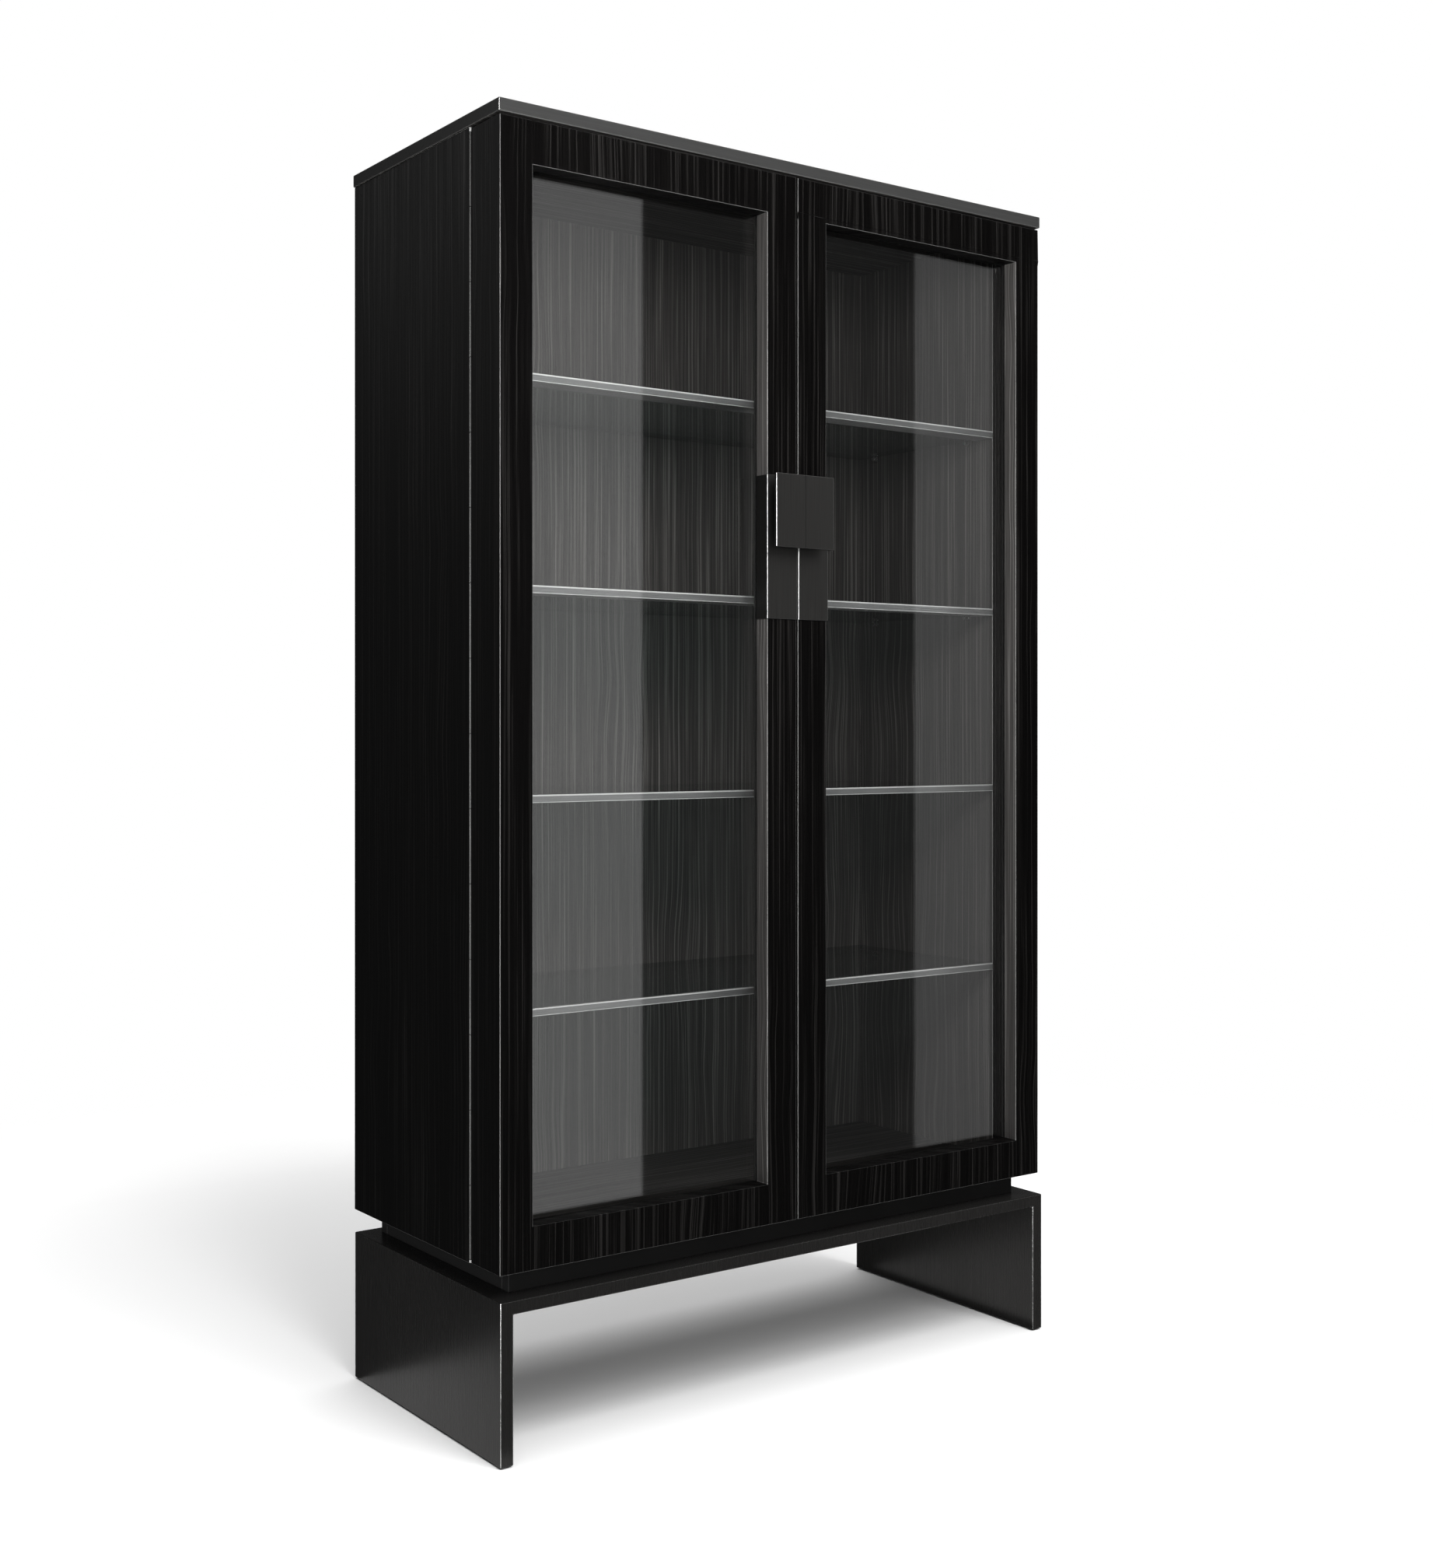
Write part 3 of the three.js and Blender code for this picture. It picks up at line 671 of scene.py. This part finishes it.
print("base", round(2 * bridge_half, 3), "m wide,", round(slab_high.z, 3), "m high")

# %% [markdown]
# ## The body
#
# The side panels are black outside and greyer inside, and the top panel is lacquered outside
# and veneered on its underside, where it is the cabinet's ceiling. That veneer is paler than the
# floor board's, painted light for the light that reaches the ceiling. Each is one board with two
# finishes, chosen by the way each face looks. The seam edge has a small chamfer for the hinge.

# %% Side panels
SEAM_CHAMFER = 2 * MM
FLAT = 0.9                       # a face looks along an axis when its normal passes this
WALL_BACK_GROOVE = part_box("back_panel")[0].y


def side_panel(side, sign):
    low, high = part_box(f"{side}_side_panel")
    inner, outer = reach(low, high)
    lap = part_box("back_panel")[1].x
    work = cell_solid(
        [sign * inner, sign * lap, sign * outer], [low.y, WALL_BACK_GROOVE, high.y],
        [low.z, high.z],
        lambda x, y, z: abs(x) > lap or y < WALL_BACK_GROOVE,
    )
    chamfer_upright_edge(work, sign * outer, low.y, SEAM_CHAMFER)
    name = f"{side}_wall"
    part = add_part(name, mesh_from(work, name), "cabinet", "veneer",
                    [wall_veneer, grey_veneer], f"{side}_side_panel")
    paint_faces(part, lambda face: face.normal.x * sign < -FLAT)
    return round_edges(part, 0.8 * MM)


walls = [side_panel(side, sign) for side, sign in SIDES.items()]
print("walls", [wall.name for wall in walls])

# %% Top, bottom and back boards
lid = add_part("lid_board", merged_copy("top_panel", "lid_board"), "cabinet", "top_lacquer",
               [top_lacquer, ceiling_veneer], "top_panel")
paint_faces(lid, lambda face: face.normal.z < -FLAT)
round_edges(lid, 1.5 * MM)
floor_board = rounded_part("bottom_panel", "floor_board", "cabinet", "interior_veneer",
                           board_veneer, 0.8 * MM)
back_board = rounded_part("back_panel", "back_board", "cabinet", "interior_veneer",
                          grey_veneer, 0.4 * MM)

# %% [markdown]
# ## The doors
#
# Each door is a framed front with a return board that carries it round the corner to the
# hinge. The veneer runs over both, so the frame's two solids become one door case. The upright
# sides of its window are a paler veneer: partly a grey veneer for the door's thickness, and
# partly painted light for the light these faces catch. Its glass lies in a rebate at the back,
# and a flat ring holds it there.

# %% Door cases
GLASS_LAP = 7.5 * MM             # how far the pane reaches behind the frame
REBATE = 8 * MM


def door_case(side, sign):
    frame_low, frame_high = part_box(f"{side}_door_frame")
    return_low, return_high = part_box(f"{side}_door_return")
    pane_low, pane_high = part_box(f"{side}_door_glass")
    near = reach(frame_low, frame_high)[0]
    board_x, far = reach(return_low, return_high)
    pane_near, pane_far = reach(pane_low, pane_high)
    window = (pane_near + GLASS_LAP, pane_far - GLASS_LAP,
              pane_low.z + GLASS_LAP, pane_high.z - GLASS_LAP)
    rear = frame_high.y
    hinge_end = return_high.y

    def filled(x, y, z):
        x = abs(x)
        if y > rear:
            return x > board_x
        grow = REBATE if y > pane_low.y else 0.0
        in_width = window[0] - grow < x < window[1] + grow
        in_height = window[2] - grow < z < window[3] + grow
        return not (in_width and in_height)

    widths = [near, window[0] - REBATE, window[0], window[1], window[1] + REBATE, board_x, far]
    work = cell_solid(
        [sign * x for x in widths], [frame_low.y, pane_low.y, rear, hinge_end],
        [frame_low.z, window[2] - REBATE, window[2], window[3], window[3] + REBATE,
         frame_high.z],
        filled,
    )
    chamfer_upright_edge(work, sign * far, hinge_end, SEAM_CHAMFER)
    name = f"{side}_door_case"
    part = add_part(name, mesh_from(work, name), f"{side}_door", "veneer",
                    [black_veneer, reveal_veneer], f"{side}_door_frame",
                    f"{side}_door_return")
    # The window's upright sides take the paler veneer, which is partly painted light.
    sides = (window[0] - REBATE - MM, window[1] + REBATE + MM)
    paint_faces(part, lambda face: abs(face.normal.x) > FLAT
                and sides[0] < abs(face.center.x) < sides[1])
    return round_edges(part, 1.0 * MM, 3)


cases = [door_case(side, sign) for side, sign in SIDES.items()]
print("door cases", [len(case.data.polygons) for case in cases], "faces before rounding")

# %% [markdown]
# ### Glass, plates and the square pull
#
# A metal plate wraps the inner edge of each door, and the square pull stands in front of both.
# The pull is two halves that part when a door opens. The edges along that seam are not
# rounded, so that the closed pull looks like one square.

# %% Panes, beads, plates and pulls
panes = []
for side in SIDES:
    door = f"{side}_door"
    panes.append(rounded_part(f"{side}_door_glass", f"{side}_pane", door, "clear_glass",
                              clear_glass, 0.3 * MM))
    rounded_part(f"{side}_glass_bead", f"{side}_bead_ring", door, "plinth_black",
                 plinth_black, 0.5 * MM)
    rounded_part(f"{side}_handle_plate", f"{side}_grip_plate", door, "gunmetal", gunmetal,
                 0.9 * MM)
    grip = add_part(f"{side}_grip", merged_copy(f"{side}_pull_half", f"{side}_grip"), door,
                    "gunmetal", [gunmetal], f"{side}_pull_half")
    round_edges(grip, 1.0 * MM, seam=reach(*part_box(f"{side}_pull_half"))[0])
    rounded_part(f"{side}_catch_strike", f"{side}_strike_plate", door, "steel", steel,
                 0.3 * MM)
print("panes", [pane.name for pane in panes])

# %% [markdown]
# ## Shelves
#
# Each shelf is a thick glass plate whose front edge sits in a drawn aluminium rail. The rail
# has a lip over the glass, a front face, and a deep flange below with fine grooves, which is
# what is seen of it from under the upper shelves. The top and the bottom of the front face
# carry a painted highlight in a pale metal, so two cuts along the rail give each of them faces
# of its own.

# %% Shelves
UPPER_HIGHLIGHT_LINE = 2.0 * MM            # how high the painted highlight line at the top of a rail is
LOWER_HIGHLIGHT_LINE = 0.9 * MM            # and the one at the bottom


def paint_lip_highlights(trim):
    """Cuts the front face of a rail into three long strips and gives the outer two a pale finish,
    a painted highlight.
    """
    work = bmesh.new()
    work.from_mesh(trim.data)
    heights = [vert.co.z for vert in work.verts]
    front = min(vert.co.y for vert in work.verts)
    upper, lower = max(heights) - UPPER_HIGHLIGHT_LINE, min(heights) + LOWER_HIGHLIGHT_LINE
    for z in (upper, lower):
        bmesh.ops.bisect_plane(work, geom=work.verts[:] + work.edges[:] + work.faces[:],
                               plane_co=(0, 0, z), plane_no=(0, 0, 1))
    work.to_mesh(trim.data)
    work.free()
    trim.data.materials.append(bright_lip)
    paint_faces(trim, lambda face: face.center.y < front + CLOSE
                and not lower < face.center.z < upper)


trims = []
for number in range(1, 5):
    rounded_part(f"glass_shelf_{number}", f"shelf_plate_{number}", "cabinet", "shelf_glass",
                 shelf_glass, 0.5 * MM)
    trims.append(rounded_part(f"shelf_rail_{number}", f"shelf_trim_{number}", "cabinet",
                              "aluminium", aluminium, 0.3 * MM))
    paint_lip_highlights(trims[-1])

# %% [markdown]
# ## Repeated small parts, by Geometry Nodes
#
# Sixteen shelf pins, the knuckles of the long hinges and a few dozen screws are all one shape
# set out many times. Each shape is turned or cut once in mesh code. A short node tree then
# sets it out, either at a list of places or in an even row, and makes the copies real.

# %% Pattern helpers
def start_pattern(name, inputs):
    """A geometry tree with named inputs. inputs maps each name to its socket type."""
    tree = bpy.data.node_groups.new(name, "GeometryNodeTree")
    for label, kind in inputs.items():
        tree.interface.new_socket(label, in_out="INPUT", socket_type="NodeSocket" + kind)
    tree.interface.new_socket("Result", in_out="OUTPUT", socket_type="NodeSocketGeometry")
    return tree, add_node(tree, "NodeGroupInput").outputs


def end_pattern(tree, geometry, finish):
    real = add_node(tree, "GeometryNodeRealizeInstances", by_place=[geometry])
    painted = add_node(tree, "GeometryNodeSetMaterial", Geometry=real.outputs[0],
                       Material=finish)
    add_node(tree, "NodeGroupOutput", by_place=[painted.outputs[0]])


def run_pattern(tree, name, start_mesh, values, body, slot, *nodes):
    """Runs a tree on a starting mesh and keeps the result as one plain part."""
    holder = bpy.data.objects.new(name, start_mesh)
    scene.collection.objects.link(holder)
    pattern = holder.modifiers.new("pattern", "NODES")
    pattern.node_group = tree
    keys = {item.name: item.identifier for item in tree.interface.items_tree}
    for label, value in values.items():
        pattern[keys[label]] = value
    bpy.context.view_layer.update()
    ready = holder.evaluated_get(bpy.context.evaluated_depsgraph_get())
    mesh = bpy.data.meshes.new_from_object(ready)
    mesh.name = name
    bpy.data.objects.remove(holder)
    return add_part(name, mesh, body, slot, [], *nodes)


# %% The two patterns
AT_PLACES = {"Places": "Geometry", "Item": "Object", "Spin_Seed": "Int", "Finish": "Material"}
set_out, given = start_pattern("items_at_places", AT_PLACES)
facing = add_node(set_out, "GeometryNodeInputNamedAttribute", {"data_type": "FLOAT_VECTOR"},
                  ["facing"]).outputs[0]
aimed = add_node(set_out, "FunctionNodeAlignRotationToVector", {"axis": "Z"}, Vector=facing)
spin = add_node(set_out, "FunctionNodeRandomValue", {"data_type": "FLOAT"},
                Seed=given["Spin_Seed"])
spin.inputs[2].default_value = 0.0
spin.inputs[3].default_value = math.tau
turn = add_node(set_out, "FunctionNodeAxisAngleToRotation", by_place=[(0, 0, 1),
                                                                    spin.outputs[1]])
turned = add_node(set_out, "FunctionNodeRotateRotation", {"rotation_space": "LOCAL"},
                  [aimed.outputs[0], turn.outputs[0]])
item = add_node(set_out, "GeometryNodeObjectInfo", Object=given["Item"])
copies = add_node(set_out, "GeometryNodeInstanceOnPoints", Points=given["Places"],
                  Instance=item.outputs["Geometry"], Rotation=turned.outputs[0])
end_pattern(set_out, copies.outputs[0], given["Finish"])

IN_A_ROW = {"Strip": "Geometry", "Item": "Object", "Count": "Int", "Start": "Vector",
            "Spacing": "Vector", "Finish": "Material"}
set_in_row, given = start_pattern("strip_with_a_row", IN_A_ROW)
line = add_node(set_in_row, "GeometryNodeMeshLine", Count=given["Count"],
                Start_Location=given["Start"], Offset=given["Spacing"])
item = add_node(set_in_row, "GeometryNodeObjectInfo", Object=given["Item"])
copies = add_node(set_in_row, "GeometryNodeInstanceOnPoints", Points=line.outputs[0],
                  Instance=item.outputs["Geometry"])
whole = add_node(set_in_row, "GeometryNodeJoinGeometry")
set_in_row.links.new(copies.outputs[0], whole.inputs[0])
set_in_row.links.new(given["Strip"], whole.inputs[0])
end_pattern(set_in_row, whole.outputs[0], given["Finish"])
print("patterns", set_out.name, set_in_row.name)


# %% The items themselves
TURNED_SIDES = 24


def item_object(work, name):
    """A helper object that a pattern copies. It is removed when its copies are made."""
    made = bpy.data.objects.new(name, mesh_from(work, name))
    for face in made.data.polygons:
        face.use_smooth = False
    scene.collection.objects.link(made)
    return made


def ring(work, radius, height, sides):
    """Corners on a circle about Z."""
    angles = [math.tau * n / sides for n in range(sides)]
    return [work.verts.new((radius * math.cos(a), radius * math.sin(a), height)) for a in angles]


def wall(work, lower, upper):
    """Faces between two rings. Where a ring is one point, they are triangles."""
    count = len(lower)
    for n in range(count):
        around = [lower[n], lower[(n + 1) % count], upper[(n + 1) % count], upper[n]]
        work.faces.new(list(dict.fromkeys(around)))


def turned_item(name, profile, sides):
    """A solid of revolution about Z from (radius, height) points that start and end at 0."""
    work = bmesh.new()
    rings = []
    for radius, height in profile:
        if radius == 0:
            rings.append([work.verts.new((0, 0, height))] * sides)
        else:
            rings.append(ring(work, radius, height, sides))
    for lower, upper in zip(rings, rings[1:]):
        wall(work, lower, upper)
    return item_object(work, name)


def tube_item(name, outer, bore, length, rounding, sides):
    """A knuckle: a tube about Z, from 0 up, with both rims rounded."""
    section = [
        (bore, 0), (outer - rounding, 0), (outer, rounding), (outer, length - rounding),
        (outer - rounding, length), (bore, length),
    ]
    work = bmesh.new()
    rings = [ring(work, radius, height, sides) for radius, height in section]
    for lower, upper in zip(rings, rings[1:] + rings[:1]):
        wall(work, lower, upper)
    return item_object(work, name)


def screw_item(name, radius, rise, sink):
    """A screw head: a low dome about Z with a cross recess, flush with the surface at 0."""
    work = bmesh.new()

    def cross(arm, half, h):
        outline = [(arm, -half), (arm, half), (half, half), (half, arm), (-half, arm),
                   (-half, half), (-arm, half), (-arm, -half), (-half, -half), (-half, -arm),
                   (half, -arm), (half, -half)]
        return [work.verts.new((x, y, h)) for x, y in outline]

    foot, rim, crown = [ring(work, r, h, TURNED_SIDES) for r, h in
                        ((radius, -sink), (radius, rise * 0.3), (0.85 * radius, rise))]
    work.faces.new(foot)
    wall(work, foot, rim)
    wall(work, rim, crown)
    mouth = cross(0.55 * radius, 0.14 * radius, rise)
    pit = cross(0.40 * radius, 0.10 * radius, rise - 0.7 * (rise + sink))
    wall(work, mouth, pit)
    work.faces.new(pit)
    between = [work.edges.get((a, b)) for loop in (crown, mouth)
               for a, b in zip(loop, loop[1:] + loop[:1])]
    bmesh.ops.triangle_fill(work, use_beauty=True, edges=between)
    return item_object(work, name)


def places_mesh(name, places, facings):
    """Loose points, each with the direction its item faces."""
    mesh = bpy.data.meshes.new(name)
    mesh.from_pydata([tuple(p) for p in places], [], [])
    facing = mesh.attributes.new("facing", "FLOAT_VECTOR", "POINT")
    facing.data.foreach_set("vector", [c for vector in facings for c in vector])
    return mesh


# %% Shelf pins
pin_nodes = sorted(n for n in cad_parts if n.startswith("shelf_pin_"))
inside_x = reach(*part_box("right_side_panel"))[0]
pin_low, pin_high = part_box(pin_nodes[0])
pin_radius = (pin_high.z - pin_low.z) / 2
pin_near, pin_far = reach(pin_low, pin_high)
pin_reach = pin_far - inside_x
pin_head = inside_x - pin_near
collar = 0.6 * MM
pin_profile = [
    (0, -pin_reach), (0.68 * pin_radius, -pin_reach), (0.68 * pin_radius, 0),
    (pin_radius - 0.3 * MM, 0), (pin_radius, 0.3 * MM), (pin_radius, 1.6 * MM),
    (0.8 * pin_radius, 1.6 * MM + collar), (0.8 * pin_radius, 3.2 * MM),
    (pin_radius, 3.2 * MM + collar), (pin_radius, pin_head - 0.8 * MM),
    (0.8 * pin_radius, pin_head - 0.2 * MM), (0.5 * pin_radius, pin_head), (0, pin_head),
]
pin = turned_item("one_shelf_pin", pin_profile, TURNED_SIDES)
pin_places, pin_facings = [], []
for node in pin_nodes:
    low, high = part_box(node)
    sign = 1 if low.x + high.x > 0 else -1
    pin_places.append((sign * inside_x, (low.y + high.y) / 2, (low.z + high.z) / 2))
    pin_facings.append((-sign, 0, 0))
pins = run_pattern(set_out, "shelf_pins", places_mesh("pin_places", pin_places, pin_facings),
                   {"Item": pin, "Spin_Seed": 1, "Finish": steel}, "cabinet", "steel",
                   *pin_nodes)
print("shelf pins", len(pin_places), "of", len(pins.data.polygons), "faces")

# %% [markdown]
# ### The long hinges
#
# A piano hinge runs the height of each door in the seam between its return board and the
# cabinet's side. Each leaf is a thin strip, and every second knuckle of the barrel belongs to
# it. From outside only the barrel shows, as a fine grey line down the side. Its pins are the
# frame's own, in the same dark steel.

# %% Hinge leaves
KNUCKLES = 15
KNUCKLE_PLAY = 0.4 * MM
KNUCKLE_BORE = 1.35 * MM
KNUCKLE_SIDES = 20
LEAF_THICKNESS = 1 * MM
hinge_pin_low, hinge_pin_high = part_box("right_hinge_pin")
barrel_x = (hinge_pin_low.x + hinge_pin_high.x) / 2
barrel_y = (hinge_pin_low.y + hinge_pin_high.y) / 2
knuckle_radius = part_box("right_hinge_body_leaf")[1].x - barrel_x
pitch = (hinge_pin_high.z - hinge_pin_low.z) / KNUCKLES
knuckle = tube_item("one_knuckle", knuckle_radius, KNUCKLE_BORE, pitch - KNUCKLE_PLAY,
                    0.4 * MM, KNUCKLE_SIDES)


def hinge_leaf(side, sign, owner):
    """One leaf: its strip, the tabs that reach the barrel, and its own knuckles."""
    node = f"{side}_hinge_{owner}_leaf"
    low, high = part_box(node)
    inner = reach(low, high)[0]
    first = 0 if owner == "body" else 1
    away = 1 if owner == "body" else -1
    outer_face = high.y if owner == "body" else low.y
    faces = sorted([outer_face, outer_face - away * LEAF_THICKNESS])
    strip_x = barrel_x - knuckle_radius - 0.3 * MM
    tab_x = barrel_x - (knuckle_radius + KNUCKLE_BORE) / 2
    cuts = [hinge_pin_low.z + n * pitch for n in range(KNUCKLES + 1)]
    owned = [(cuts[n] + KNUCKLE_PLAY / 2, cuts[n + 1] - KNUCKLE_PLAY / 2)
             for n in range(first, KNUCKLES, 2)]
    levels = sorted({low.z, high.z, cuts[0], cuts[-1], *[z for pair in owned for z in pair]})
    work = cell_solid(
        [sign * inner, sign * strip_x, sign * tab_x], faces, levels,
        lambda x, y, z: abs(x) < strip_x or any(a < z < b for a, b in owned),
    )
    name = f"{side}_{owner}_leaf"
    start = (sign * barrel_x, barrel_y, owned[0][0])
    values = {"Item": knuckle, "Count": len(owned), "Start": start,
              "Spacing": (0, 0, 2 * pitch), "Finish": dark_steel}
    body = "cabinet" if owner == "body" else f"{side}_door"
    return run_pattern(set_in_row, name, mesh_from(work, name + "_strip"), values, body,
                       "steel", node)


leaves = [hinge_leaf(side, sign, owner) for side, sign in SIDES.items()
          for owner in ("body", "door")]
for side in SIDES:
    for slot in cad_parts[f"{side}_hinge_pin"].material_slots:
        slot.material = dark_steel
print("hinge leaves", [leaf.name for leaf in leaves])

# %% [markdown]
# ### Screws
#
# Small countersunk screws hold the hinge leaves, the rings behind the glass and the back
# board. They are spaced evenly along each edge, and each cross points its own way, as a
# person leaves it. A fixed seed keeps them the same every time.

# %% Screw rows
def even(start, stop, count):
    return [start + (stop - start) * n / (count - 1) for n in range(count)]


def ring_places(x0, x1, z0, z1, y, across, up):
    """Places round a rectangle in an upright plane: across its width and up its height."""
    rows = [(x, y, z) for z in (z0, z1) for x in even(x0, x1, across)]
    posts = [(x, y, z) for x in (x0, x1) for z in even(z0, z1, up)[1:-1]]
    return rows + posts


small_screw = screw_item("one_small_screw", 1.9 * MM, 0.25 * MM, 0.6 * MM)
board_screw = screw_item("one_board_screw", 3.4 * MM, 0.5 * MM, 1.0 * MM)
BEAD_INSET = 6 * MM
BEAD_SCREWS = (4, 9)             # across the ring and up it
BACK_INSET = 5 * MM
BACK_SCREWS = (6, 9)
LEAF_INSET = 20 * MM
LEAF_SCREWS = 12
STRIP_MIDDLE = 7 * MM            # from the leaf's inner edge

for side, sign in SIDES.items():
    low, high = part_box(f"{side}_glass_bead")
    places = ring_places(low.x + BEAD_INSET, high.x - BEAD_INSET, low.z + BEAD_INSET,
                         high.z - BEAD_INSET, high.y, *BEAD_SCREWS)
    run_pattern(set_out, f"{side}_bead_screws",
                places_mesh("bead_places", places, [(0, 1, 0)] * len(places)),
                {"Item": small_screw, "Spin_Seed": 3, "Finish": steel}, f"{side}_door", "steel")
    for owner, away, body in (("body", -1, "cabinet"), ("door", 1, f"{side}_door")):
        low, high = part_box(f"{side}_hinge_{owner}_leaf")
        strip_middle = sign * (reach(low, high)[0] + STRIP_MIDDLE)
        leaf_y = barrel_y - away * 0.5 * MM
        places = [(strip_middle, leaf_y, z)
                  for z in even(low.z + LEAF_INSET, high.z - LEAF_INSET, LEAF_SCREWS)]
        run_pattern(set_out, f"{side}_{owner}_leaf_screws",
                    places_mesh("leaf_places", places, [(0, away, 0)] * len(places)),
                    {"Item": small_screw, "Spin_Seed": 5, "Finish": steel}, body, "steel")

low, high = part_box("back_panel")
places = ring_places(low.x + BACK_INSET, high.x - BACK_INSET, low.z + BACK_INSET,
                     high.z - BACK_INSET, high.y, *BACK_SCREWS)
run_pattern(set_out, "back_board_screws",
            places_mesh("back_places", places, [(0, 1, 0)] * len(places)),
            {"Item": board_screw, "Spin_Seed": 7, "Finish": steel}, "cabinet", "steel")
for helper in (pin, knuckle, small_screw, board_screw):
    bpy.data.objects.remove(helper)

# %% [markdown]
# ## The magnetic catch
#
# A twin magnetic catch hangs under the ceiling, just behind the doors. It is a small black
# case, notched at the front between its two magnets, with a pair of steel pole plates for each
# door's strike plate.

# %% Catch
catch_low, catch_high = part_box("magnetic_catch")
POLE_WIDTH = 14 * MM
POLE_THICKNESS = 1.2 * MM
POLE_HEIGHT = 9 * MM
POLE_PROUD = 0.3 * MM
POLE_DEPTH = 6 * MM
POLE_OFFSET = 12.5 * MM          # from the catch's middle to each pair of plates
NOTCH_HALF = 2 * MM
NOTCH_DEPTH = 2.5 * MM
catch_middle = (catch_low.x + catch_high.x) / 2
catch_work = cell_solid(
    [catch_low.x, catch_middle - NOTCH_HALF, catch_middle + NOTCH_HALF, catch_high.x],
    [catch_low.y, catch_low.y + NOTCH_DEPTH, catch_high.y],
    [catch_low.z, catch_low.z + 2 * MM, catch_high.z],
    lambda x, y, z: abs(x - catch_middle) > NOTCH_HALF or y > catch_low.y + NOTCH_DEPTH,
)
catch = add_part("catch_case", mesh_from(catch_work, "catch_case"), "cabinet", "rubber",
                 [rubber], "magnetic_catch")
round_edges(catch, 0.8 * MM)


def pole_plates():
    """Two upright steel plates a door, let into the front of the catch."""
    work = bmesh.new()
    depth = catch_low.y + POLE_DEPTH
    for sign in SIDES.values():
        centre = catch_middle + sign * POLE_OFFSET
        for edge in (-1, 1):
            x = centre + edge * (POLE_WIDTH / 2 - POLE_THICKNESS / 2)
            middle = (x, (catch_low.y - POLE_PROUD + depth) / 2,
                      (catch_low.z + catch_high.z) / 2)
            size = (POLE_THICKNESS, depth - catch_low.y + POLE_PROUD, POLE_HEIGHT)
            bmesh.ops.create_cube(work, size=1.0, matrix=Matrix.Translation(middle)
                                  @ Matrix.Diagonal((*size, 1.0)))
    return mesh_from(work, "catch_pole_plates")


poles = add_part("catch_pole_plates", pole_plates(), "cabinet", "steel", [steel])
round_edges(poles, 0.15 * MM)
print("catch", [round(v, 3) for v in catch_high - catch_low])

# %% [markdown]
# ## Which lamp lights which part
#
# A lamp can be linked to chosen parts, or kept off some. The two upright cards shine only on
# the door panes, so they draw the pale veils without touching the black veneer. The edge strip
# leaves the panes and the shelf pins alone, so that no bright bar or dot shows there.
#
# The floor's two lamps shine on nothing else, and the key keeps off the floor, so the shadow
# and the cabinet can be lit apart. It keeps off the shelf rails too, which have their own card
# and the inner fill. The side card and the glow from the floor each have one job as well.

# %% Light links
def only_for(lamp, parts):
    chosen = bpy.data.collections.new(lamp.name + "_only")
    for part in parts:
        chosen.objects.link(part)
    lamp.light_linking.receiver_collection = chosen


def not_for(lamp, parts):
    only_for(lamp, parts)
    for member in lamp.light_linking.receiver_collection.collection_objects:
        member.light_linking.link_state = "EXCLUDE"


inside = [lid, floor_board, back_board, *walls, *cases, *trims]
for name, parts in (("left_veil_card", panes), ("right_veil_card", panes),
                    ("floor_key", [floor]), ("floor_wash", [floor]), ("floor_glow", [base]),
                    ("side_card", walls + cases), ("inner_fill", inside), ("rail_card", trims)):
    only_for(lamps[name], parts)
not_for(lamps["edge_strip"], panes + [pins])
not_for(lamps["key_lamp"], [floor] + trims)
print("linked lamps", [name for name, lamp in lamps.items()
                       if lamp.light_linking.receiver_collection])
